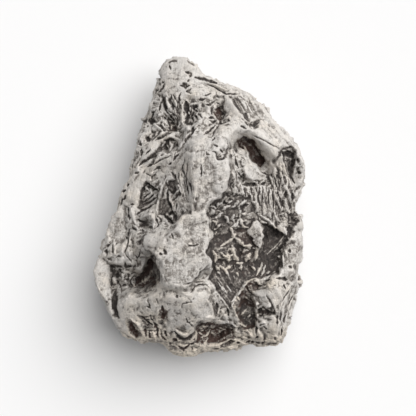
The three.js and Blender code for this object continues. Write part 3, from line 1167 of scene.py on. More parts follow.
@dataclass(frozen=True)
class MiddlePlate(Region):
    """The bright plate down the middle and the cracks round it."""

    title: str = "middle plate"
    grounds: tuple[Ground, ...] = (
        Ground(Grain.PLATE, 0.8, way=30, soft=0.3, corners=(
            -24, 84, -12, 104, 26, 124, 34, 110, 22, 94, 19, 83, 4, 84, -16, 66,
        )),
        Ground(Grain.PLATE, 0.74, way=70, soft=0.25, level=0.7, corners=(
            -19, 80, 19, 83, 27, 72, 42, 72, 46, 64, 46, 50, 42, 34, 34, 16, 16, 4, 10, -5, 12, -16,
            -10, -10, -14, 8, -12, 22, -19, 66,
        )),
        Ground(Grain.PLATE, 0.67, way=20, soft=0.22, level=0.75, corners=(
            12, -6, 10, -10, 17, -22, 15, -32, 21, -46, 10, -65, 19, -82, 20, -94, 10, -94, 0, -102,
            -8, -114, -26, -126, -50, -122, -70, -70, -60, -54, -44, -36, -35, -29, -26, -14, -12, -10,
        )),
        Ground(Grain.PLATE, 0.82, soft=0.25, level=0.6, corners=(
            -44, -36, -60, -54, -70, -70, -84, -62, -85, -44, -78, -36,
        )),
        Ground(Grain.COMBED, 0.62, way=84, soft=0.5, relief=0.4, corners=(
            -2, 90, 4, 74, 2, 42, 14, 38, 20, 56, 14, 82,
        )),
        Ground(Grain.SPOTTED, 0.74, (24, 66, 40, 64, 42, 40, 32, 20, 22, 26), soft=0.4, relief=0.7),
        Ground(Grain.COMBED, 0.82, way=-74, soft=0.2, relief=0.8, level=0.7, corners=(
            -33, 64, -22, 79, -16, 74, -14, 50, -8, 26, -6, 8, -24, 5, -34, 50,
        )),
        Ground(Grain.SPOTTED, 0.8, soft=0.4, relief=0.7, corners=(
            -78, -38, -50, -38, -44, -54, -50, -74, -74, -66, -84, -54,
        )),
    )
    strokes: tuple[Stroke, ...] = (
        *cuts(
            0.15, (10, 83, 11, 79, 15, 78), (-22, 70, -26, 60, -24, 50, -21, 42, -15, 8),
            (-18, 70, -18, 55, -20, 42, -14, 30, -9, 9), (-19, -59, -12, -59, -2, -57),
            (-42, -40, -39, -49),
        ),
        *cuts(0.2, (3, 62, 2, 44), tone=0.6),
        *cuts(
            0.2, (-23, 93, -20, 100, -12, 108, -5, 117), (19, 83, 24, 81, 27, 71, 32, 71, 38, 74, 43, 94),
            (22, 93, 27, 89), (30, 86, 34, 81), (54, 76, 56, 64, 59, 58), (58, 52, 63, 43),
            (46, 62, 48, 57), (53, 15, 61, 19), (-60, -70, -56, -72), (16, -90, 2, -97, -6, -110),
        ),
        *cuts(
            0.26, (41, 88, 50, 88), (44, 92, 49, 90), (41, 16, 46, 15), (-54, -65, -49, -69),
            (-49, -71, -53, -69), (34, 20),
        ),
        *cuts(0.34, (46, 79, 48, 73)),
        *ledges(
            0.6, (17, -26, 17, -19, 11, -11, 10, -5, 15, 3, 22, 9, 30, 11, 33, 15, 36, 23, 40, 29, 44, 45,
            45, 55, 44, 66, 40, 70), (-12, -4, -12, -12, -18, -11, -26, -14, -31, -20, -35, -30, -41, -38),
            (20, -96, 19, -82, 16, -76, 11, -70, 9, -63, 14, -59, 15, -50, 21, -46, 19, -39, 15, -32,
            17, -26),
        ),
        *ribs(0.15, (43, 82, 43, 73)),
        *ribs(0.2, (10, -62, 16, -64, 19, -73), tone=0.6),
        *ribs(0.2, (31, 77, 36, 83), (-29, 52, -27, 34, -23, 16), (6, -105, 10, -103)),
        *ribs(0.26, (45, 70, 54, 64), (8, -98, 19, -96), tone=0.6),
        *ribs(0.34, (44, 40, 42, 29, 38, 19), tone=0.6),
        *ribs(0.45, (53, 29, 52, 19), tone=0.6),
    )


@dataclass(frozen=True)
class LeftFlank(Region):
    """Ridges that run down to the left from the middle, with rough pockets between them."""

    title: str = "left flank"
    grounds: tuple[Ground, ...] = (
        Ground(Grain.CRUMBLED, 0.77, way=52, soft=0.6, relief=0.8, level=0.5, corners=(
            -94, 114, -56, 114, -26, 94, -16, 72, -26, 56, -20, 24, -14, 4, -26, -16, -42, -38, -76, -38,
            -86, -56, -96, -90, -128, -90, -150, -66, -144, -40, -120, 30, -104, 60,
        )),
        Ground(Grain.PLATE, 0.82, way=35, soft=0.25, level=0.6, corners=(
            -94, 86, -84, 96, -68, 100, -48, 110, -32, 113, -30, 106, -48, 104, -62, 89, -74, 79, -87, 72,
        )),
        Ground(Grain.SPOTTED, 0.48, soft=0.25, depth=0.2, level=0.7, corners=(
            -61, 83, -54, 99, -40, 103, -30, 95, -34, 84, -48, 79,
        )),
        Ground(Grain.PLATE, 0.94, way=52, soft=0.2, level=0.7, corners=(
            -117, 2, -110, 20, -99, 40, -84, 53, -71, 67, -61, 82, -53, 85, -50, 77, -79, 40, -88, 26,
            -93, 8, -104, 2,
        )),
        Ground(Grain.PLATE, 0.82, way=48, soft=0.2, level=0.8, corners=(
            -67, 49, -58, 61, -44, 69, -22, 89, -18, 83, -30, 68, -35, 56, -49, 45, -56, 32,
        )),
        Ground(Grain.CRUMBLED, 0.4, way=45, soft=0.2, depth=0.2, level=0.9, corners=(
            -80, 38, -61, 19, -64, 3, -70, -2, -86, -7, -94, -1, -86, 28,
        )),
        Ground(Grain.SPOTTED, 0.38, way=80, soft=0.2, depth=0.15, level=0.95, relief=0.6, corners=(
            -49, 42, -56, 28, -61, 8, -61, -12, -43, -22, -40, -6, -45, 10,
        )),
        Ground(Grain.SPOTTED, 0.3, soft=0.2, depth=0.1, level=0.95, corners=(
            -51, 27, -46, 39, -38, 38, -32, 24, -39, 18,
        )),
        Ground(Grain.STRIATED, 0.6, way=70, soft=0.2, level=0.95, corners=(
            -42, 16, -33, 22, -26, 16, -24, 4, -32, -10, -38, -12,
        )),
        Ground(Grain.WEB, 0.22, soft=0.2, depth=0.3, level=0.9, corners=(
            -51, -16, -42, -9, -37, -8, -35, -23, -44, -28,
        )),
        Ground(Grain.PLATE, 0.86, soft=0.25, level=0.5, corners=(
            -139, -34, -132, -8, -122, 4, -110, 1, -106, -42, -114, -56, -132, -54,
        )),
        Ground(Grain.PLATE, 0.6, (-130, -13, -120, -11, -117, -30, -120, -42, -129, -37), soft=0.5),
        Ground(Grain.PLATE, 0.44, soft=0.5, depth=0.1, level=0.6, corners=(
            -92, -22, -77, -20, -70, -26, -71, -33, -84, -36, -92, -30,
        )),
        Ground(Grain.CRUMBLED, 0.8, way=70, soft=0.3, level=0.5, relief=0.6, corners=(
            -99, -60, -86, -50, -79, -66, -80, -86, -89, -98, -99, -94,
        )),
        Ground(Grain.SPOTTED, 0.7, (-100, -36, -86, -38, -88, -60, -98, -76, -104, -60), soft=0.3),
    )
    strokes: tuple[Stroke, ...] = (
        *cuts(
            0.15, (-81, 50, -72, 44, -66, 49), (-47, 62, -42, 66), (-62, 84, -52, 81, -42, 80),
            (-80, 37, -69, 26, -63, 23), (-84, 13, -74, 21), (-79, 9, -69, 18), (-39, 9, -32, 17),
            (-103, 3, -96, 4), (-103, -32, -106, -37, -107, -43, -106, -52, -107, -62, -111, -67, -109, -72,
            -104, -78, -101, -84), (-86, -58, -91, -74, -95, -82), (-96, -74, -94, -80),
        ),
        *cuts(
            0.2, (-93, 98, -88, 97), (-95, 86, -95, 72), (-64, 83, -79, 71), (-69, 54, -59, 60),
            (-81, 79, -74, 85), (-79, 61, -74, 62, -69, 69), (-69, 63, -59, 70, -50, 73, -43, 77),
            (-39, 69, -36, 75, -31, 79), (-103, 46, -99, 51), (-109, 30, -106, 34), (-119, 2, -116, 12),
            (-84, 29, -82, 25), (-88, 1, -69, 11, -64, 15), (-48, 26, -47, 10, -43, -4), (-32, 30, -29, 14),
            (-35, -4, -33, 5), (-93, -19, -89, -22, -83, -23), (-87, -36, -84, -35), (-65, -18, -63, -26),
            (-123, -76, -118, -74), (-79, -36, -83, -48, -85, -60),
        ),
        *cuts(0.26, (-74, -29, -72, -33), tone=0.6),
        *cuts(
            0.26, (-87, 85, -88, 75), (-78, 71, -86, 66, -90, 61), (-79, 60, -73, 65), (-59, 77, -54, 79),
            (-64, 59, -60, 56), (-39, 99, -44, 101), (-52, 93, -50, 87), (-96, 49, -90, 51),
            (-115, 22, -111, 25), (-114, 10, -110, 16), (-87, 20, -89, 12),
            (-92, -11, -86, -6, -76, -2, -68, 3), (-53, -12, -42, -25), (-40, -20, -37, -12),
            (-106, -2, -105, -11), (-94, -12, -89, -9), (-110, -46, -107, -49),
            (-111, -83, -110, -90, -102, -89), (-135, -56, -139, -60), (-136, -78, -130, -80), (-96, 58),
            (-43, -30),
        ),
        *cuts(
            0.34, (-66, 100, -57, 104, -49, 109, -42, 111), (-36, 93, -31, 92), (-41, 50, -34, 37, -33, 30),
            (-106, -12, -104, -20),
        ),
        *cuts(0.45, (-80, 104, -75, 99), tone=0.6),
        *cuts(0.45, (-92, 98, -88, 92), (-139, -68)),
        *ledges(0.3, (-89, 67, -85, 68, -65, 82), (-95, 4, -89, 24, -80, 40)),
        *ledges(0.6, (-79, -36, -83, -48, -85, -60)),
        *ribs(
            0.15, (-56, 90, -51, 99), (-82, 6, -74, 11, -67, 18), (-81, 30, -76, 24),
            (-86, -3, -78, 1, -69, 7), (-44, -20, -38, -16),
        ),
        *ribs(
            0.2, (-85, 59, -71, 73), (-79, 44, -70, 52), (-74, 57, -67, 65, -62, 74), (-60, 64, -46, 73),
            (-45, 98, -42, 90, -45, 85), (-99, 54, -91, 64), (-85, 8, -76, 18, -66, 24),
            (-45, 24, -44, 10, -40, -4, -36, -12), (-42, 10, -32, 23), (-99, -28, -90, -36),
            (-104, -50, -102, -60),
        ),
        *ribs(0.26, (-100, -3, -99, -18, -96, -26), tone=0.6),
        *ribs(
            0.26, (-68, 123, -58, 116), (-49, 43, -56, 29, -61, 12, -63, 0, -63, -12),
            (-63, -13, -55, -15, -49, -20, -46, -27), (-84, -16, -76, -12, -69, -13, -68, -22, -70, -32),
            (-128, -50, -126, -72),
        ),
        *ribs(0.34, (-114, -56, -116, -74), tone=0.6),
    )


@dataclass(frozen=True)
class LowerSlab(Region):
    """The broad bright slab at the lower left, the deep cavity above it and the knob on the left."""

    title: str = "lower slab"
    grounds: tuple[Ground, ...] = (
        Ground(Grain.CRUMBLED, 0.64, soft=0.4, relief=0.8, corners=(
            -136, -86, -108, -88, -92, -100, -94, -124, -120, -136, -130, -120, -136, -104,
        )),
        Ground(Grain.PLATE, 0.88, soft=0.3, level=0.4, corners=(
            -164, -80, -144, -76, -135, -86, -132, -136, -146, -134, -164, -100,
        )),
        Ground(Grain.SPOTTED, 0.82, way=20, soft=0.3, relief=0.7, level=0.4, rust=0.1, corners=(
            -124, -150, -106, -132, -94, -125, -70, -123, -57, -113, -46, -119, -14, -129, -7, -120,
            9, -118, 15, -123, 17, -132, 13, -140, 22, -160, 23, -172, -4, -173, -8, -186, -16, -196,
            -32, -194, -44, -200, -60, -202, -84, -202, -106, -196, -126, -176,
        )),
        Ground(Grain.PLATE, 0.86, soft=0.3, level=0.6, corners=(
            -10, -130, 9, -121, 15, -130, 12, -142, 21, -162, 2, -168, -10, -154,
        )),
        Ground(Grain.SPOTTED, 0.4, soft=0.3, rust=0.3, corners=(
            -102, -121, -76, -119, -72, -126, -82, -134, -100, -133,
        )),
        Ground(Grain.HOLLOW, 0.24, soft=0.25, depth=0.2, corners=(
            -133, -122, -123, -124, -121, -140, -125, -154, -121, -166, -129, -164, -133, -144,
        )),
        Ground(Grain.HOLLOW, 0.26, soft=0.22, depth=0.3, rust=0.6, corners=(
            -73, -68, -79, -82, -81, -92, -93, -110, -97, -119, -88, -123, -70, -121, -61, -116, -57, -110,
            -57, -103, -64, -84, -66, -74,
        )),
        Ground(Grain.STRIATED, 0.36, way=-70, soft=0.2, relief=0.7, corners=(
            -73, -90, -65, -88, -59, -100, -60, -110, -69, -111, -72, -102,
        )),
        Ground(Grain.HOLLOW, 0.32, soft=0.25, depth=0.1, rust=1.0, level=0.5, corners=(
            -109, -169, -102, -169, -92, -180, -87, -194, -96, -199, -106, -186,
        )),
        Ground(Grain.HOLLOW, 0.12, soft=0.22, depth=0.3, rust=1.0, corners=(
            -61, -158, -55, -148, -49, -159, -49, -171, -61, -170,
        )),
        Ground(Grain.PLATE, 0.7, soft=0.3, depth=0.15, rust=0.25, corners=(
            -36, -180, -24, -178, -20, -189, -32, -192,
        )),
        Ground(Grain.CRUMBLED, 0.66, soft=0.4, relief=0.7, rust=0.3, corners=(
            -90, -164, -62, -162, -48, -180, -54, -204, -80, -204,
        )),
    )
    strokes: tuple[Stroke, ...] = (
        *cuts(0.11, (-18, -136, -12, -143, -25, -145, -27, -154), tone=0.6),
        *cuts(0.15, (-24, -117, -18, -116, -10, -113, 2, -113, 8, -114), tone=0.6),
        *cuts(
            0.15, (-81, -149, -74, -153), (-77, -145, -75, -154), (-65, -138, -63, -146),
            (-74, -162, -72, -170, -68, -174), (-84, -170, -75, -170),
            (-14, -129, -7, -120, -2, -117, 9, -117, 14, -120), (-21, -165, -18, -173, -12, -178, -6, -181),
        ),
        *cuts(
            0.2, (-134, -97, -130, -99), (-123, -112, -121, -117), (-84, -171, -70, -180),
            (-82, -184, -80, -194), (-76, -188, -74, -196), (-70, -174, -65, -180, -62, -195),
            (-59, -185, -55, -196, -50, -200),
        ),
        *cuts(
            0.26, (-131, -110, -131, -120), (-116, -119, -109, -117), (-108, -106, -104, -102),
            (-98, -129, -89, -126), (-84, -128, -79, -124), (-72, -114, -64, -113),
            (-69, -175, -65, -180, -68, -183), (-56, -149, -55, -159), (-32, -133, -35, -136),
            (-38, -187, -32, -194, -24, -198, -16, -196, -5, -186), (-52, -186, -49, -194),
        ),
        *cuts(0.45, (-106, -174, -94, -194), (-124, -104), (-43, -190), tone=0.6),
        *cuts(
            0.45, (-126, -128, -127, -142, -126, -152, -123, -164), (-72, -76, -75, -88, -79, -98),
            (-76, -96, -89, -108, -96, -118), (-56, -162, -54, -168),
        ),
        *ledges(0.3, (-134, -124, -135, -110, -135, -86), tone=0.6),
        *ledges(
            0.6, (-66, -72, -63, -84, -56, -103, -56, -111), (24, -167, 20, -150, 16, -143, 12, -139,
            17, -132, 15, -123),
        ),
        *ribs(0.15, (-94, -124, -86, -129), (-104, -180, -99, -189)),
        *ribs(
            0.2, (-117, -101, -115, -106, -116, -112), (-126, -94, -116, -92), (-112, -112, -106, -114),
            (-101, -175, -95, -184), (-54, -174, -51, -174),
        ),
        *ribs(0.26, (-63, -156, -64, -170), (-69, -188, -66, -198), tone=0.6),
        *ribs(
            0.26, (-130, -105, -125, -116), (-104, -110, -98, -102),
            (-97, -126, -114, -140, -121, -148, -122, -154), (-57, -112, -70, -124),
            (-102, -168, -92, -177, -87, -186, -85, -193), (-36, -184, -30, -190, -22, -194, -14, -192),
        ),
    )


@dataclass(frozen=True)
class LowerEdge(Region):
    """The broken lower edge with its small feet."""

    title: str = "lower edge"
    grounds: tuple[Ground, ...] = (
        Ground(Grain.CRUMBLED, 0.52, soft=0.3, corners=(
            -52, -200, -30, -196, -8, -188, 0, -206, -14, -228, -48, -228,
        )),
        Ground(Grain.WEB, 0.14, way=30, soft=0.3, depth=0.4, rust=0.4, relief=0.7, corners=(
            -8, -184, -3, -175, 16, -172, 52, -182, 54, -196, 30, -205, 8, -206, -6, -204,
        )),
        Ground(Grain.SPOTTED, 0.72, soft=0.3, rust=0.2, corners=(
            -48, -212, -24, -212, -4, -208, 2, -218, -10, -230, -48, -230,
        )),
        Ground(Grain.CRUMBLED, 0.78, soft=0.35, corners=(
            2, -208, 30, -206, 54, -198, 78, -196, 126, -196, 130, -214, 60, -226, 10, -224,
        )),
    )
    strokes: tuple[Stroke, ...] = (
        *cuts(0.2, (92, -206, 98, -204)),
        *cuts(0.26, (16, -214, 28, -214), tone=0.6),
        *cuts(
            0.26, (-5, -174, 9, -177, 26, -178), (32, -197, 26, -196), (4, -187, 10, -189),
            (-40, -198, -32, -200), (-32, -208, -24, -214, -15, -206), (60, -203, 56, -206),
            (70, -204, 76, -202), (-44, -204),
        ),
        *cuts(0.34, (31, -212, 50, -203)),
        *cuts(0.45, (25, -197, 49, -185), (32, -209, 51, -202)),
        *ribs(
            0.15, (34, -183, 46, -183, 56, -187), (-5, -184, -5, -196), (18, -190, 23, -192),
            (30, -184, 38, -186), (-2, -188, 4, -192), (-6, -190, -6, -200),
            (12, -209, 26, -208, 36, -204, 47, -198),
        ),
        *ribs(0.2, (1, -197, 12, -193, 19, -183)),
        *ribs(0.26, (62, -196, 72, -198), tone=0.6),
        *ribs(0.45, (-10, -215, -5, -213), tone=0.6),
    )


@dataclass(frozen=True)
class Basin(Region):
    """The wide dark basin in the right half, webbed with thin walls, and the comb zone above it."""

    title: str = "basin"
    grounds: tuple[Ground, ...] = (
        Ground(Grain.COMBED, 0.42, way=-80, soft=0.4, corners=(
            46, 64, 68, 38, 96, 32, 102, 46, 118, 66, 128, 66, 136, 36, 148, 16, 144, -12, 124, -22,
            114, -32, 92, -14, 84, 6, 72, 12, 50, 8, 44, 32,
        )),
        Ground(Grain.STRIATED, 0.48, way=-84, soft=0.3, relief=1.1, level=0.6, corners=(
            84, 32, 108, 34, 112, 4, 106, -16, 92, -14, 85, 6,
        )),
        Ground(Grain.WEB, 0.16, soft=0.2, depth=0.6, level=0.4, rust=0.3, relief=0.45, corners=(
            14, 2, 32, 12, 38, 20, 60, 17, 76, 10, 84, 2, 86, -14, 94, -22, 132, -50, 118, -68, 116, -90,
            96, -108, 84, -108, 64, -121, 48, -144, 14, -108, 21, -94, 19, -80, 11, -68, 16, -50, 21, -44,
            16, -30, 18, -19, 11, -10,
        )),
        Ground(Grain.WEB, 0.3, soft=0.4, depth=0.5, relief=0.6, corners=(
            14, 2, 32, 12, 38, 20, 60, 17, 76, 10, 84, 2, 86, -14, 70, -22, 54, -34, 44, -22, 19, -20,
            11, -10,
        )),
        Ground(Grain.HOLLOW, 0.12, soft=0.3, depth=0.6, rust=0.3, relief=0.6, corners=(
            21, -44, 50, -34, 74, -43, 85, -60, 96, -64, 98, -98, 64, -120, 48, -140, 16, -106, 21, -94,
            19, -80, 11, -68, 16, -50,
        )),
        Ground(Grain.PLATE, 0.36, soft=0.2, relief=0.6, depth=0.4, corners=(
            43, -3, 59, -2, 60, -16, 50, -18, 40, -14,
        )),
        Ground(Grain.PLATE, 0.28, (30, -24, 42, -24, 42, -42, 30, -40), soft=0.3, depth=0.3),
        Ground(Grain.HOLLOW, 0.1, soft=0.3, rust=0.3, depth=0.3, corners=(
            26, -60, 43, -60, 45, -80, 40, -90, 26, -86,
        )),
        Ground(Grain.PLATE, 0.5, soft=0.2, depth=0.2, level=0.5, corners=(
            69, 3, 76, 8, 83, 5, 85, -10, 89, -20, 72, -26, 69, -16,
        )),
        Ground(Grain.HOLLOW, 0.06, soft=0.25, rust=0.5, depth=0.35, corners=(
            58, -42, 66, -34, 78, -40, 80, -54, 74, -61, 62, -58,
        )),
        Ground(Grain.HOLLOW, -0.2, soft=0.2, depth=0.7, rust=0.2, level=0.3, relief=0.5, corners=(
            96, -26, 134, -44, 134, -52, 120, -66, 118, -101, 104, -107, 93, -94, 91, -74, 98, -58,
            100, -42,
        )),
        Ground(Grain.SPOTTED, 0.58, way=85, soft=0.15, relief=0.6, level=0.8, corners=(
            79, -24, 85, -21, 91, -24, 96, -34, 98, -46, 96, -57, 92, -63, 85, -60, 70, -37,
        )),
        Ground(Grain.STRIATED, 0.2, way=-56, soft=0.25, relief=1.1, level=0.6, depth=0.3, corners=(
            16, -106, 34, -98, 62, -104, 74, -112, 56, -132, 44, -156, 28, -132,
        )),
        Ground(Grain.PLATE, 0.72, (143, -23, 154, -22, 162, -34, 156, -46, 142, -42), soft=0.3),
        Ground(Grain.HOLLOW, 0.04, soft=0.25, depth=0.4, corners=(
            132, -10, 146, -10, 150, -22, 142, -32, 139, -50, 130, -46,
        )),
    )
    strokes: tuple[Stroke, ...] = (
        *cuts(0.15, (94, 29, 95, 6), (104, 29, 103, 2), (110, 24, 111, -6), tone=0.6),
        *cuts(0.15, (70, -40, 84, -63), (116, 22, 122, 8)),
        *cuts(0.2, (89, 29, 88, 14, 90, 2), tone=0.6),
        *cuts(
            0.2, (11, -7, 16, -15, 23, -16, 27, -14), (129, 24, 127, 12), (112, 44, 116, 30),
            (126, 46, 129, 32), (66, 28, 69, 16), (77, 29, 78, 18), (139, 22, 138, 6), (26, -123, 43, -148),
            (42, -153, 44, -165),
        ),
        *cuts(
            0.26, (19, -34, 25, -39), (22, -89, 24, -98), (48, -96, 52, -88), (81, -72, 79, -82),
            (72, 17, 76, 13), (65, -9, 63, -1, 73, 3), (95, -26, 104, -30, 113, -37),
            (26, -145, 27, -155, 25, -163), (125, -8), (123, -15),
        ),
        *cuts(0.34, (55, -35, 70, -36), (61, -69, 60, -77), (74, -89, 78, -99), (68, -25)),
        *cuts(
            0.45, (30, -79, 34, -85), (139, -16, 143, -22), (135, -30, 135, -48), (130, -49, 109, -77),
            (103, -42, 99, -66), (110, -39, 116, -46),
        ),
        *ribs(
            0.11, (129, -41, 103, -72), (123, -53, 109, -69), (35, -120, 42, -130), (29, -114, 39, -129),
            (42, -118, 48, -128),
        ),
        *ribs(0.15, (14, 0, 23, -1, 28, -6), (55, -134, 61, -142)),
        *ribs(
            0.2, (21, -22, 26, -24, 25, -29), (23, -36, 27, -34, 32, -27), (31, 2, 38, 9), (43, 4, 49, 8),
            (35, -6, 40, -1, 46, 0), (27, 0, 30, 5), (49, -2, 54, 1), (53, -12, 49, -19, 52, -24),
            (56, -29, 58, -20), (63, -5, 61, -16), (80, 8, 85, 2, 86, -3, 84, -8), (112, 20, 122, -5),
            (126, 10, 130, -6), (132, 25, 133, 10), (106, 46, 110, 32), (134, 42, 136, 29),
            (72, 29, 73, 20), (16, -113, 32, -137, 42, -149, 46, -157), (49, -149, 58, -169),
            (21, -141, 24, -139),
        ),
        *ribs(
            0.2, (42, -66, 49, -63), (23, -66, 26, -76, 25, -84), (32, -69, 38, -73), (79, -90, 84, -95),
            (56, -98, 59, -104), tone=1.3,
        ),
        *ribs(
            0.26, (56, 3, 58, 9), (63, 3, 71, 9), (39, -14, 45, -26), (61, -16, 62, -25, 67, -31, 73, -32),
            (92, -14, 106, -23, 114, -32), (83, 25, 85, 10, 86, -8),
            (85, -108, 76, -110, 70, -113, 49, -143), (22, -172, 36, -173, 50, -176, 56, -180), (127, -18),
        ),
        *ribs(
            0.26, (46, -32, 50, -38), (64, -70, 69, -66, 73, -67), (56, -85, 65, -85),
            (32, -89, 40, -95, 44, -103), (40, -93, 48, -90), (94, -84, 91, -94, 86, -103),
            (99, -88, 93, -104), (100, -99, 105, -96), (32, -101, 28, -98), tone=1.3,
        ),
        *ribs(0.34, (32, -155, 43, -173)),
        *ribs(
            0.34, (53, -46, 67, -60), (51, -47, 45, -52, 33, -59), (81, -62, 88, -65, 87, -73, 84, -82),
            tone=1.3,
        ),
        *ribs(0.45, (20, -5, 23, -12), tone=0.6),
        *ribs(
            0.45, (50, -39, 52, -46), (67, -60, 78, -59), (49, -59, 51, -68, 54, -76, 58, -81),
            (36, -74, 43, -76, 48, -72), (45, -76, 44, -82), (76, -71, 72, -76, 70, -82),
            (63, -89, 63, -94), (27, -92), tone=1.3,
        ),
    )


@dataclass(frozen=True)
class Toes(Region):
    """The bright rim on the right and the three blunt toes at the lower right."""

    title: str = "toes"
    grounds: tuple[Ground, ...] = (
        Ground(Grain.PLATE, 0.6, soft=0.25, level=0.4, corners=(
            134, -52, 154, -50, 160, -70, 152, -108, 142, -126, 124, -116, 118, -74, 126, -59,
        )),
        Ground(Grain.STRIATED, 0.7, way=-106, soft=0.4, relief=1.1, corners=(
            130, -118, 152, -116, 142, -162, 130, -204, 114, -194, 122, -132,
        )),
        Ground(Grain.HOLLOW, 0.15, soft=0.25, depth=0.35, rust=0.6, corners=(
            70, -113, 86, -110, 96, -118, 84, -127, 79, -133, 84, -142, 82, -156, 86, -166, 83, -182,
            64, -186, 52, -148, 59, -132,
        )),
        Ground(Grain.HOLLOW, 0.08, (62, -150, 82, -152, 83, -178, 66, -180), soft=0.3, depth=0.4, rust=0.2),
        Ground(Grain.PLATE, 0.86, way=-50, soft=0.2, level=0.6, corners=(
            77, -132, 94, -124, 122, -120, 124, -136, 116, -152, 106, -150, 86, -151, 84, -142,
        )),
        Ground(Grain.HOLLOW, 0.16, soft=0.18, depth=0.35, rust=0.3, corners=(
            86, -152, 108, -150, 113, -160, 106, -166, 89, -165,
        )),
        Ground(Grain.PLATE, 0.86, way=-60, soft=0.2, level=0.6, corners=(
            85, -165, 112, -166, 118, -174, 116, -194, 104, -200, 94, -198, 85, -174,
        )),
        Ground(Grain.SPOTTED, 0.66, soft=0.3, rust=0.2, corners=(
            80, -108, 98, -108, 116, -98, 122, -114, 104, -124, 92, -120,
        )),
    )
    strokes: tuple[Stroke, ...] = (
        *cuts(
            0.15, (94, -180, 102, -186), (136, -123, 124, -142), (140, -132, 134, -148),
            (124, -182, 122, -194),
        ),
        *cuts(
            0.2, (126, -117, 129, -124), (99, -112, 106, -109), (99, -132, 109, -148, 113, -158),
            (90, -178, 98, -177), (123, -158, 121, -172), (117, -163, 116, -178),
            (130, -162, 126, -170, 128, -175),
        ),
        *cuts(
            0.26, (134, -64, 136, -70), (134, -89, 139, -92), (115, -108, 123, -108, 131, -110),
            (90, -120, 84, -116), (88, -194, 85, -196), (86, -180, 85, -192), (80, -202, 78, -206),
            (72, -116, 78, -115), (113, -198),
        ),
        *cuts(0.45, (89, -159, 98, -158, 107, -159)),
        *ledges(
            0.6, (119, -96, 118, -76, 119, -67, 128, -57, 135, -51, 146, -50),
            (84, -152, 88, -146, 77, -132, 85, -129), (88, -178, 84, -169, 87, -163, 100, -165, 110, -169),
            (96, -202, 94, -192, 88, -182),
        ),
        *ribs(
            0.15, (92, -156, 99, -155), (94, -162, 102, -161), (109, -196, 113, -194, 117, -197),
            (120, -146, 119, -164), (63, -163, 70, -154), (72, -168, 76, -162), (68, -134, 74, -140),
        ),
        *ribs(0.2, (126, -62, 132, -76), (89, -123, 100, -119), (61, -175, 69, -180), (66, -186, 72, -185)),
        *ribs(0.26, (124, -72, 126, -90), tone=0.6),
        *ribs(0.26, (92, -110, 104, -104, 112, -96), (74, -188, 80, -196)),
    )


REGIONS = (NarrowEnd(), Shoulder(), LeftFlank(), MiddlePlate(), LowerEdge(), LowerSlab(), Basin(), Toes())


# ------------------------ the piece


@dataclass(frozen=True)
class Drift:
    """A ground that holds in drifting patches on the flanks and the underside.

    Attributes:
        ground: The ground.
        shift: Millimetres by which its noise is moved.
        size: Wavelength of the noise.
        start: Noise at which the ground begins.
        full: Noise from which it holds fully.
    """

    ground: Ground
    shift: float
    size: float
    start: float
    full: float


DRIFTS = (
    Drift(Ground(Grain.PLATE, 0.80), 300, 4.5, 0.0, 0.15),
    Drift(Ground(Grain.CRUMBLED, 0.60, way=60, relief=0.5), 200, 6.0, 0.04, 0.16),
    Drift(Ground(Grain.COMBED, 0.62, way=25, relief=0.5), 300, 4.5, -0.12, -0.26),
    Drift(Ground(Grain.WEB, 0.34, depth=0.25, rust=0.5, relief=0.5), 200, 6.0, -0.24, -0.34),
)


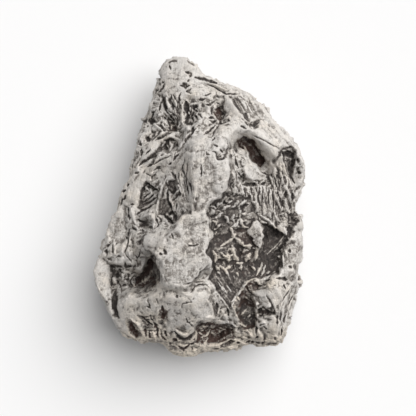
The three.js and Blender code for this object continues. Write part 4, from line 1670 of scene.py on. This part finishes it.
@dataclass
class Meteorite:
    """The lump: a copy of the solid, evened out, sculpted and thinned.

    Attributes:
        name: Name of the piece.
        voxel: Spacing of the working skin, in millimetres.
        smooth_rounds: How long the facets of the solid are smoothed away.
        triangles: Most triangles that the finished piece has.
        favour: How much an even spacing counts against the shape when the piece is thinned.
        ease_of_thinning: How readily the upper side and the rest are thinned, 0 to 1.
        flank_levels: Heights between which the smoothing of the flanks' creases sets in, in millimetres.
        flank_rounds: How long those creases are smoothed.
        swell_levels: Heights between which the swells of the flanks set in, in millimetres.
        swells: Heights of the broad and of the narrow swells.
        carve: Share of the drawn relief that is carved into the upper side.
        drawn_tone: How much the tones of marks and grains count.
        hollow_patina_and_shade: Rounds of evening, depth in millimetres and darkness of each size of hollow;
            hollows are darkened partly as patina and partly as painted shade, and crests are brightened as
            wear.
        tone_span: Middle of the tones and how far they may lie from it.
        side_marks: How many marks are drawn on the flanks and the underside.
        side_halves: Least and greatest half width of those marks, in millimetres.
        side_cuts: Share of those marks that are furrows.
        side_leg: Length of each leg of their paths, in millimetres.
        upper_side: Upward parts of the normal from which the upper side begins and holds fully.
        steepness: Upward parts of the normal at which a wall starts to count as steep and counts fully.
        wall_rounds: How long the skin of steep walls is evened out.
        wall_wear: How far their shape is rounded, their tones fade and their roughness shows as tone.
        roughness: Heights of the roughness on steep walls and on the flanks, in millimetres.
        lean: How far the relief of the upper side rises straight up instead of outwards.
        feet: Height under which the underside stays flat, in millimetres.
        sole_calm: Share of the relief that is left out there.
        sole_bare: Least bareness there.
        low_ground: Height under which the ground counts as lowest, in millimetres.
        sinking_levels: Heights between which the skin sinks with the lowest ground, in millimetres.
        worn_feet: How much of the lowest ground is worn flat to stand on, in hundredths.
        rusty_end: Places along Y, in millimetres, where the rust of the broad end starts and is full.
        end_rust: How much rust the broad end gets.
        drawn_from: Place from which the marks of the upper side are drawn on, in millimetres.
        true_level: Height at which the drawn marks are true to size, in millimetres.
    """

    name: str = "iron_meteorite"
    voxel: float = 0.12
    smooth_rounds: int = 34
    triangles: int = 196_000
    favour: float = 0.02
    ease_of_thinning: tuple[float, float] = (0.5, 0.78)
    flank_levels: tuple[float, float] = (7.4, 5.2)
    flank_rounds: int = 6
    swell_levels: tuple[float, float] = (8.4, 6.4)
    swells: tuple[float, float] = (1.3, 0.9)
    carve: float = 0.68
    drawn_tone: float = 0.40
    # darkening of hollows and creases, partly patina and partly painted shade; crests brighten as wear
    hollow_patina_and_shade: tuple[tuple[int, float, float], ...] = (
        (4, 0.06, 0.14),
        (24, 0.2, 0.28),
        (120, 0.6, 0.14),
    )
    tone_span: tuple[float, float] = (0.45, 0.6)
    side_marks: int = 380
    side_halves: tuple[float, float] = (0.18, 0.55)
    side_cuts: float = 0.64
    side_leg: float = 0.7
    upper_side: tuple[float, float] = (0.08, 0.42)
    steepness: tuple[float, float] = (0.62, 0.3)
    wall_rounds: int = 14
    wall_wear: tuple[float, float, float] = (0.9, 0.8, 0.35)
    roughness: tuple[float, float] = (0.34, 0.16)
    lean: float = 2.0
    feet: float = 0.5
    sole_calm: float = 0.9
    sole_bare: float = 0.75
    low_ground: float = 1.2
    sinking_levels: tuple[float, float] = (4.0, 1.0)
    worn_feet: float = 30.0
    rusty_end: tuple[float, float] = (-16.5, -20.5)
    end_rust: float = 0.45
    drawn_from: tuple[float, float, float] = (1.3, -0.2, 182.3)
    true_level: float = 9.0
    sculptor: Sculptor = field(default_factory=Sculptor)

    def blank(self) -> bpy.types.Object:
        """Copies the solid and turns it into an even, smooth skin of quads, in millimetres.

        Returns:
            The new object.
        """
        bpy.ops.object.select_all(action="DESELECT")
        piece = bpy.data.objects.new(self.name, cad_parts[NODE].data.copy())
        bpy.context.scene.collection.objects.link(piece)
        piece.select_set(True)
        bpy.context.view_layer.objects.active = piece
        piece.data.materials.clear()
        piece.scale = (1 / MM, 1 / MM, 1 / MM)
        bpy.ops.object.transform_apply(location=False, rotation=False, scale=True)
        bpy.ops.object.mode_set(mode="EDIT")
        bpy.ops.mesh.select_all(action="SELECT")
        bpy.ops.mesh.remove_doubles(threshold=0.001)
        bpy.ops.object.mode_set(mode="OBJECT")
        flanks = piece.vertex_groups.new(name="flanks")
        for vertex in piece.data.vertices:
            flanks.add([vertex.index], float(ramp(vertex.co.z, *self.flank_levels)), "REPLACE")
        ease = piece.modifiers.new("no creases", "SMOOTH")
        ease.vertex_group = flanks.name
        ease.iterations = self.flank_rounds
        bpy.ops.object.modifier_apply(modifier=ease.name)
        self.lay_even_skin(piece)
        smooth = piece.modifiers.new("no facets", "SMOOTH")
        smooth.factor = 0.5
        smooth.iterations = self.smooth_rounds
        bpy.ops.object.modifier_apply(modifier=smooth.name)
        return piece

    def drawing_places(self, points: np.ndarray) -> np.ndarray:
        """Where points lie on the drawing of the upper side.

        Args:
            points: Places in millimetres.

        Returns:
            Two numbers for each place.
        """
        eye = np.array(self.drawn_from)
        spread = (eye[2] - self.true_level) / (eye[2] - points[:, 2:])
        return eye[:2] + (points[:, :2] - eye[:2]) * spread

    def lay_upper_side(self, skin: Skin, upward: np.ndarray) -> None:
        """Lays the regions' grounds and presses their strokes.

        Args:
            skin: The working skin.
            upward: How far each vertex belongs to the upper side, 0 to 1.
        """
        plan = self.drawing_places(self.sculptor.wander(skin.points))
        near = Near(plan)
        self.sculptor.lay(skin, Ground(Grain.SPOTTED, 0.70), upward)
        strokes: list[Stroke] = []
        for region in REGIONS:
            for ground in region.grounds:
                self.sculptor.lay(skin, ground, upward * self.sculptor.ground_share(near, ground, plan))
            strokes += region.strokes
            counts = len(region.grounds), len(region.strokes)
            log.info("region %s: %d grounds, %d strokes", region.title, *counts)
        self.sculptor.press(skin, strokes, plan, upward)

    def lay_sides(self, skin: Skin, sideways: np.ndarray) -> None:
        """Lays grounds in drifting patches over the flanks and the underside, and draws marks on them.

        Args:
            skin: The working skin.
            sideways: How far each vertex belongs to the flanks or the underside, 0 to 1.
        """
        noise = self.sculptor.noise
        self.sculptor.lay(skin, Ground(Grain.SPOTTED, 0.72, relief=0.7), sideways)
        for drift in DRIFTS:
            share = ramp(noise.layers(skin.points + drift.shift, drift.size, 2), drift.start, drift.full)
            self.sculptor.lay(skin, drift.ground, sideways * share)
        broad, narrow = self.swells
        swell = broad * noise.layers(skin.points + 400, 5.5, 2)
        swell += narrow * noise.layers(skin.points + 500, 2.8, 3, 0.6)
        skin.height += sideways * ramp(skin.points[:, 2], *self.swell_levels) * swell
        strokes = self.draw_marks(skin, np.flatnonzero(sideways > 0.3))
        self.sculptor.press(skin, strokes, self.sculptor.wander(skin.points), sideways)

    def draw_marks(self, skin: Skin, starts: np.ndarray) -> list[Stroke]:
        """Draws furrows and crests that wander over the skin from chance starts.

        Args:
            skin: The working skin.
            starts: Vertices at which a mark may start.

        Returns:
            The marks.
        """
        draw = np.random.default_rng(self.sculptor.seed + 9)
        tree = self.finder(skin)
        normals = skin.normals(8)
        strokes: list[Stroke] = []
        for _ in range(self.side_marks):
            start = int(draw.choice(starts))
            way = np.cross(normals[start], draw.normal(size=3))
            way /= np.linalg.norm(way)
            path = [skin.points[start]]
            for _ in range(int(draw.integers(2, 7))):
                way = way + 0.35 * draw.normal(size=3)
                way /= np.linalg.norm(way)
                _, index, _ = tree.find(path[-1] + self.side_leg * way)
                path.append(skin.points[index])
            half = float(draw.uniform(*self.side_halves))
            cut = draw.random() < self.side_cuts
            mark, height, tone = (Mark.CUT, 0.9 * half, 0.8) if cut else (Mark.RIB, 0.6 * half, 0.7)
            strokes.append(Stroke(mark, half, height, tuple(map(tuple, path)), tone))
        return strokes

    def sculpt(self, skin: Skin) -> None:
        """Works the whole relief into the skin and sets its tones.

        Args:
            skin: The working skin.
        """
        normals = skin.normals(14)
        upward = skin.upward = ramp(normals[:, 2], *self.upper_side)
        self.lay_upper_side(skin, upward)
        height, tone, bare, rust = skin.height.copy(), skin.tone.copy(), skin.bare.copy(), skin.rust.copy()
        lift = skin.lift.copy()
        skin.height[:], skin.tone[:] = 0.0, 0.0
        self.lay_sides(skin, 1 - upward)
        skin.height += height * upward
        skin.tone += tone * upward
        skin.bare = upward * bare + (1 - upward) * skin.bare
        skin.rust = upward * rust + (1 - upward) * skin.rust
        skin.rust += self.end_rust * ramp(skin.points[:, 1], *self.rusty_end)
        sole = ramp(skin.points[:, 2], self.feet, 0.05) * (1 - upward)
        way = normals + self.lean * upward[:, None] * np.array([0.0, 0.0, 1.0])
        way /= np.linalg.norm(way, axis=1)[:, None]
        way *= (skin.height * (1 - self.sole_calm * sole))[:, None]
        places = skin.points.copy()
        places[:, 2] += upward * lift
        skin.points = places + way
        skin.bare = skin.bare + self.drawn_tone * skin.tone
        # painted shade and patina: hollows of three sizes are darkened, measured on the full drawn relief,
        # which is deeper than the carved one; crests are brightened as wear
        for rounds, depth, darkness in self.hollow_patina_and_shade:
            skin.bare -= darkness * np.tanh(skin.hollowness(rounds) / depth)
        middle, span = self.tone_span
        skin.bare = middle + span * np.tanh((np.maximum(skin.bare, self.sole_bare * sole) - middle) / span)
        skin.points = places + way * (1 - (1 - self.carve) * upward)[:, None]
        skin.points[:, 2] *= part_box(NODE)[1][2] / MM / skin.points[:, 2].max()

    def lay_even_skin(self, piece: bpy.types.Object) -> None:
        """Turns the piece into a closed skin of even quads."""
        remesh = piece.modifiers.new("even skin", "REMESH")
        remesh.mode = "VOXEL"
        remesh.voxel_size = self.voxel
        bpy.ops.object.modifier_apply(modifier=remesh.name)

    def finder(self, skin: Skin) -> KDTree:
        """Finder for the vertices of the skin."""
        tree = KDTree(len(skin.points))
        for index, point in enumerate(skin.points):
            tree.insert(point, index)
        tree.balance()
        return tree

    def weather(self, skin: Skin) -> None:
        """Rounds and roughens steep walls, which no mark drawn from above reaches, and wears the feet.

        Args:
            skin: The sculpted skin.
        """
        noise = self.sculptor.noise
        facing = skin.normals(40)
        steep = ramp(facing[:, 2], *self.steepness) * skin.upward
        rounding, fading, mottling = self.wall_wear
        skin.points += rounding * steep[:, None] * (skin.spread(skin.points, self.wall_rounds) - skin.points)
        skin.bare += fading * steep * (skin.spread(skin.bare, self.wall_rounds) - skin.bare)
        rough = noise.layers(skin.points + 70, 1.3, 4, 0.65)
        flank = (1 - skin.upward) * ramp(skin.points[:, 2], self.feet, 2.0)
        on_walls, on_flanks = self.roughness
        skin.points += facing * ((on_walls * steep + on_flanks * flank) * rough)[:, None]
        skin.bare += mottling * steep * rough
        levels = skin.points[:, 2]
        drop = np.percentile(levels[levels < self.low_ground], self.worn_feet)
        levels -= drop * ramp(levels, *self.sinking_levels)
        np.maximum(levels, 0.0, out=levels)

    def fit(self, skin: Skin) -> None:
        """Fits the skin into the solid's box exactly."""
        low, high = (np.array(corner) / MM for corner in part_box(NODE))
        points = skin.points
        lowest, highest = points.min(axis=0), points.max(axis=0)
        skin.points = low + (points - lowest) * (high - low) / (highest - lowest)

    def finish(self, piece: bpy.types.Object, skin: Skin) -> None:
        """Writes the sculpted skin back, thins it and gives it its tones.

        Args:
            piece: The object.
            skin: Its sculpted skin.
        """
        piece.data.vertices.foreach_set("co", skin.points.ravel())
        piece.data.update()
        ease = piece.vertex_groups.new(name="ease of thinning")
        below = skin.normals(20)[:, 2] < 0.15
        for side, weight in zip((~below, below), self.ease_of_thinning):
            ease.add(np.flatnonzero(side).tolist(), weight, "REPLACE")
        thin = piece.modifiers.new("thin", "DECIMATE")
        thin.ratio = min(1.0, self.triangles / (2 * len(skin.faces)))
        thin.vertex_group = ease.name
        thin.vertex_group_factor = self.favour
        thin.use_collapse_triangulate = True
        bpy.ops.object.modifier_apply(modifier=thin.name)
        low, high = (np.array(corner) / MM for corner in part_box(NODE))
        places = np.zeros(len(piece.data.vertices) * 3)
        piece.data.vertices.foreach_get("co", places)
        places = np.clip(places.reshape(-1, 3), low, high)
        piece.data.vertices.foreach_set("co", places.ravel())
        tree = self.finder(skin)
        nearest = np.array([tree.find(place)[1] for place in places])
        for title, values in (("bare", skin.bare), ("rust", skin.rust)):
            layer = piece.data.attributes.new(title, "FLOAT", "POINT")
            layer.data.foreach_set("value", np.clip(values[nearest], -0.3, 1.1).astype(np.float32))
        piece.scale = (MM, MM, MM)
        bpy.ops.object.transform_apply(location=False, rotation=False, scale=True)
        bpy.ops.object.shade_smooth()

    def build(self) -> bpy.types.Object:
        """Makes the whole piece.

        Returns:
            The finished object, riding on the body and standing for the solid.
        """
        piece = self.blank()
        skin = Skin.of(piece)
        log.info("skin of %d vertices", len(skin.points))
        self.fit(skin)
        self.sculpt(skin)
        self.weather(skin)
        self.finish(piece, skin)
        piece.data.materials.append(NickelIron().material())
        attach(piece, BODY)
        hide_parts(NODE)
        log.info("%s: %d triangles", piece.name, len(piece.data.polygons))
        return piece


# ------------------------ finishes


class Wire:
    """One output of a node, with arithmetic that adds Math nodes."""

    def __init__(self, bench: "Bench", socket: bpy.types.NodeSocket) -> None:
        """Wraps a socket.

        Args:
            bench: The material's bench.
            socket: The output socket.
        """
        self.bench = bench
        self.socket = socket

    def _math(self, operation: str, first: Value, second: Value) -> "Wire":
        """Adds one Math node."""
        return self.bench.node("ShaderNodeMath", {"operation": operation}, {0: first, 1: second})

    def __add__(self, other: Value) -> "Wire":
        """Sum."""
        return self._math("ADD", self, other)

    __radd__ = __add__

    def __sub__(self, other: Value) -> "Wire":
        """Difference."""
        return self._math("SUBTRACT", self, other)

    def __rsub__(self, other: Value) -> "Wire":
        """Difference, turned round."""
        return self._math("SUBTRACT", other, self)

    def __mul__(self, other: Value) -> "Wire":
        """Product."""
        return self._math("MULTIPLY", self, other)

    __rmul__ = __mul__


class Bench:
    """Node tree of one material."""

    def __init__(self, title: str) -> None:
        """Starts an empty material.

        Args:
            title: Name of the material.
        """
        self.material = bpy.data.materials.new(title)
        self.material.use_nodes = True
        self.tree = self.material.node_tree
        self.tree.nodes.clear()

    def node(self, kind: str, settings: dict[str, Any], sockets: dict[Any, Value], out: Any = 0) -> Wire:
        """Adds a node.

        Args:
            kind: Type of the node.
            settings: Its settings, which are set first.
            sockets: Values or wires of its inputs, by name or number.
            out: Output to return, by name or number.

        Returns:
            The chosen output.
        """
        made = self.tree.nodes.new(kind)
        for name, value in settings.items():
            setattr(made, name, value)
        for name, value in sockets.items():
            if isinstance(value, Wire):
                self.tree.links.new(value.socket, made.inputs[name])
            else:
                made.inputs[name].default_value = value
        return Wire(self, made.outputs[out])

    def read(self, title: str) -> Wire:
        """Reads one of the mesh's number attributes."""
        return self.node("ShaderNodeAttribute", {"attribute_name": title}, {}, "Fac")

    def millimetres(self) -> Wire:
        """Object coordinates in millimetres."""
        place = self.node("ShaderNodeTexCoord", {}, {}, "Object")
        return self.node("ShaderNodeVectorMath", {"operation": "SCALE"}, {0: place, "Scale": 1 / MM})

    def noise(self, place: Wire, size: float, detail: float = 2.0, roughness: float = 0.5) -> Wire:
        """Noise about 0, from -0.5 to 0.5.

        Args:
            place: Coordinates in millimetres.
            size: Wavelength in millimetres.
            detail: Number of finer layers.
            roughness: Height of each finer layer.

        Returns:
            The noise.
        """
        sockets = {"Vector": place, "Scale": 1 / size, "Detail": detail, "Roughness": roughness}
        return self.node("ShaderNodeTexNoise", {"noise_dimensions": "3D"}, sockets, 0) - 0.5

    def parts(self, place: Wire) -> tuple[Wire, Wire, Wire]:
        """The three numbers of a vector."""
        x = self.node("ShaderNodeSeparateXYZ", {}, {0: place})
        return x, Wire(self, x.socket.node.outputs[1]), Wire(self, x.socket.node.outputs[2])

    def bent(self, place: Wire, size: float, reach: float) -> Wire:
        """Coordinates moved about by noise.

        Args:
            place: Coordinates in millimetres.
            size: Wavelength of the noise.
            reach: How far they move.

        Returns:
            The moved coordinates.
        """
        sockets = {"Vector": place, "Scale": 1 / size, "Detail": 2.0, "Roughness": 0.6}
        noise = self.node("ShaderNodeTexNoise", {"noise_dimensions": "3D"}, sockets, 1)
        off = self.node("ShaderNodeVectorMath", {"operation": "SUBTRACT"}, {0: noise, 1: (0.5, 0.5, 0.5)})
        settings = {"operation": "MULTIPLY_ADD"}
        return self.node("ShaderNodeVectorMath", settings, {0: off, 1: (reach,) * 3, 2: place})

    def cells(self, place: Wire, size: float, feature: str) -> Wire:
        """Cell pattern: the distance from a cell's edge, or the cell's lot from 0 to 1.

        Args:
            place: Coordinates in millimetres.
            size: Distance between cells.
            feature: DISTANCE_TO_EDGE for the distance, F1 for the lot.

        Returns:
            The chosen number.
        """
        settings = {"voronoi_dimensions": "3D", "feature": feature}
        made = self.node("ShaderNodeTexVoronoi", settings, {"Vector": place, "Scale": 1 / size}, 0)
        if feature == "F1":
            return self.parts(Wire(self, made.socket.node.outputs["Color"]))[0]
        return made

    def step(self, value: Value, low: float, high: float) -> Wire:
        """Smooth step from 0 at low to 1 at high."""
        settings = {"interpolation_type": "SMOOTHSTEP", "clamp": True}
        return self.node("ShaderNodeMapRange", settings, {0: value, 1: low, 2: high, 3: 0.0, 4: 1.0})

    def blend(self, share: Value, first: Value, second: Value) -> Wire:
        """Mixes two colours by a share."""
        settings = {"data_type": "RGBA", "blend_type": "MIX", "clamp_factor": True}
        return self.node("ShaderNodeMix", settings, {0: share, 6: first, 7: second}, 2)

    def multiply(self, colour: Value, share: Wire) -> Wire:
        """Brightens or darkens a colour by a factor."""
        settings = {"data_type": "RGBA", "blend_type": "MULTIPLY", "clamp_factor": True}
        return self.node("ShaderNodeMix", settings, {0: 1.0, 6: colour, 7: share}, 2)

    def shade(self, **sockets: Value) -> bpy.types.Material:
        """Ends the tree with a Principled shader.

        Args:
            **sockets: Its inputs, with underscores for spaces.

        Returns:
            The material.
        """
        values = {name.replace("_", " "): value for name, value in sockets.items()}
        shader = self.node("ShaderNodeBsdfPrincipled", {}, values)
        output = self.tree.nodes.new("ShaderNodeOutputMaterial")
        self.tree.links.new(shader.socket, output.inputs["Surface"])
        return self.material


@dataclass(frozen=True)
class NickelIron:
    """Worn nickel iron with a dark patina in its hollows, darkened towards black as painted shade in the
    deepest.

    Attributes:
        title: Name of the material.
        bright: Worn metal.
        warm_bright: Worn metal with a breath of rust.
        dull: Metal that is only half bare.
        patina: Dark patina of the hollows.
        brown: Rusty patina of the deepest hollows.
        sizes: Wavelengths of the grains, the fine, the middle and the broad noise, in millimetres.
        streak: Width and length of the streaks, in millimetres.
        draw_to: Point on plan, in millimetres, where the streaks would meet.
        true_reach: Distance from that point at which the streaks have their width, in millimetres.
        flake: Size of the cracked flakes, in millimetres.
        chip: Size of the chips, in millimetres.
        half_bare: Bareness from which metal shows through and at which the patina is gone.
        full_bare: Bareness from which metal is worn and at which it is bright.
        bump: Strength of the fine relief.
        bump_height: Its height in metres.
    """

    title: str = "nickel_iron_worn"
    bright: Colour = (0.60, 0.573, 0.545, 1.0)
    warm_bright: Colour = (0.62, 0.555, 0.475, 1.0)
    dull: Colour = (0.225, 0.203, 0.182, 1.0)
    patina: Colour = (0.050, 0.041, 0.037, 1.0)
    brown: Colour = (0.072, 0.041, 0.032, 1.0)
    sizes: tuple[float, float, float, float] = (0.13, 0.34, 1.0, 3.4)
    streak: tuple[float, float] = (0.30, 1.7)
    draw_to: tuple[float, float] = (-3.0, 34.0)
    true_reach: float = 36.0
    flake: float = 1.15
    chip: float = 0.42
    half_bare: tuple[float, float] = (0.10, 0.48)
    full_bare: tuple[float, float] = (0.40, 0.86)
    bump: float = 0.85
    bump_height: float = 0.0001

    def drawn(self, bench: Bench, place: Wire) -> Wire:
        """Coordinates in which a noise runs out into streaks that draw together beyond the narrow end.

        Args:
            bench: The material's bench.
            place: Coordinates in millimetres.

        Returns:
            The coordinates.
        """
        width, length = self.streak
        x, y, z = bench.parts(place)
        off_x, off_y = x - self.draw_to[0], self.draw_to[1] - y
        turn = bench.node("ShaderNodeMath", {"operation": "ARCTAN2"}, {0: off_x, 1: off_y})
        reach = bench.node("ShaderNodeMath", {"operation": "SQRT"}, {0: off_x * off_x + off_y * off_y})
        sockets = {0: turn * (self.true_reach / width), 1: reach * (1 / length), 2: z * (1 / length)}
        return bench.node("ShaderNodeCombineXYZ", {}, sockets)

    def material(self) -> bpy.types.Material:
        """Makes the material.

        Returns:
            The material, which reads the attributes bare and rust.
        """
        bench = Bench(self.title)
        place = bench.millimetres()
        layers = zip(self.sizes, (2.0, 3.0, 3.0, 2.0), (0.6, 0.7, 0.65, 0.5))
        grains, fine, middle, broad = (bench.noise(place, *layer) for layer in layers)
        streaks = bench.noise(self.drawn(bench, place), 1.0, 2.0, 0.6)
        bent = bench.bent(place, 0.9, 0.5)
        flake_edge = bench.cells(bent, self.flake, "DISTANCE_TO_EDGE")
        chip_edge = bench.cells(bent, self.chip, "DISTANCE_TO_EDGE")
        chip_lot = bench.cells(bent, self.chip, "F1")
        cracks = bench.step(flake_edge, 0.055, 0.012) * bench.step(middle + 0.4 * broad, -0.06, 0.12)
        seams = bench.step(chip_edge, 0.10, 0.02)
        laid, rust = bench.read("bare"), bench.read("rust")
        freckles = 0.75 * fine + 0.40 * middle + 0.45 * grains + 0.65 * streaks + 0.25 * (chip_lot - 0.5)
        bare = laid + (1.15 - 0.74 * laid) * freckles - 0.08 * cracks - 0.08 * seams
        rusty = bench.step(rust + 1.1 * middle + 0.6 * fine, 0.25, 0.75)
        # painted shade: where bareness falls below 0.15 the patina darkens towards black, standing in for
        # the deep shadow of the deepest hollows
        coat_and_deep_shade = bench.multiply(
            bench.blend(rusty, self.patina, self.brown), 0.30 + 0.70 * bench.step(bare, -0.35, 0.15)
        )
        warm = bench.step(rust + 0.9 * broad + 0.5 * middle, -0.15, 0.55)
        worn = bench.blend(warm, self.bright, self.warm_bright)
        full_bare = bench.step(bare, *self.full_bare)
        colour = bench.blend(bench.step(bare, *self.half_bare), coat_and_deep_shade, self.dull)
        colour = bench.blend(full_bare, colour, worn)
        mottle = 1.0 + 0.5 * grains + 0.55 * fine + 0.35 * middle + 0.3 * streaks - 0.05 * cracks
        height = 0.8 * fine + 0.4 * grains + 0.7 * streaks + 0.2 * chip_lot - 0.3 * cracks - 0.15 * seams
        relief = {"Strength": self.bump, "Distance": self.bump_height, "Height": height}
        return bench.shade(
            Base_Color=bench.multiply(colour, mottle),
            Metallic=0.06 + 0.16 * full_bare,
            Roughness=0.82 - 0.2 * full_bare + 0.3 * fine,
            Normal=bench.node("ShaderNodeBump", {}, relief),
        )


@dataclass(frozen=True)
class PaleFloor:
    """Matte white table top."""

    title: str = "pale_floor"
    white: Colour = (0.86, 0.86, 0.865, 1.0)

    def material(self) -> bpy.types.Material:
        """Makes the material."""
        bench = Bench(self.title)
        return bench.shade(Base_Color=self.white, Roughness=0.9)


# ------------------------ stage


@dataclass
class Studio:
    """Pale floor, one large soft key light from the upper right, pale surroundings, and the camera above.

    Attributes:
        reach: Side of the floor, in metres.
        key_power: Strength of the key light.
        key_softness: Its width as seen from the object, in radians.
        key_colour: Its colour.
        key_from: Direction that it comes from.
        fill: Brightness of the surroundings.
        eye: Place of the camera, in millimetres.
        lens: Focal length of the camera, in millimetres.
        sensor: Width of its sensor, in millimetres.
        clip: Nearest and farthest thing that it sees, in metres.
    """

    reach: float = 8.0
    key_power: float = 3.72
    key_softness: float = 1.15
    key_colour: tuple[float, float, float] = (1.0, 0.995, 0.985)
    key_from: tuple[float, float, float] = (0.42, 0.44, 0.79)
    fill: float = 0.20
    eye: tuple[float, float, float] = (1.27, -0.22, 182.3)
    lens: float = 100.0
    sensor: float = 36.0
    clip: tuple[float, float] = (0.01, 20.0)

    def floor(self) -> None:
        """Lays the floor."""
        bpy.ops.object.select_all(action="DESELECT")
        bpy.ops.mesh.primitive_plane_add(size=self.reach)
        floor = bpy.context.object
        floor.name = "floor"
        floor.data.materials.append(PaleFloor().material())

    def lights(self) -> None:
        """Hangs the key light and sets the surroundings."""
        data = bpy.data.lights.new("key", "SUN")
        data.energy = self.key_power
        data.angle = self.key_softness
        data.color = self.key_colour
        key = bpy.data.objects.new("key", data)
        key.rotation_euler = Vector(self.key_from).to_track_quat("Z", "Y").to_euler()
        bpy.context.scene.collection.objects.link(key)
        world = bpy.data.worlds.new("surroundings")
        world.use_nodes = True
        back = world.node_tree.nodes["Background"]
        back.inputs["Color"].default_value = (1.0, 1.0, 1.0, 1.0)
        back.inputs["Strength"].default_value = self.fill
        bpy.context.scene.world = world

    def camera(self) -> None:
        """Hangs the camera, looking straight down."""
        data = bpy.data.cameras.new("camera")
        data.lens = self.lens
        data.sensor_width = self.sensor
        data.clip_start, data.clip_end = self.clip
        camera = bpy.data.objects.new("camera", data)
        camera.location = Vector(self.eye) * MM
        bpy.context.scene.collection.objects.link(camera)
        bpy.context.scene.camera = camera

    def build(self) -> None:
        """Sets up the whole stage."""
        self.floor()
        self.lights()
        self.camera()
        bpy.context.scene.view_settings.view_transform = "Standard"


def main() -> None:
    """Builds the stage and the meteorite."""
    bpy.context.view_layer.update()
    Studio().build()
    Meteorite().build()
    bpy.context.view_layer.update()


if __name__ == "__main__":
    main()
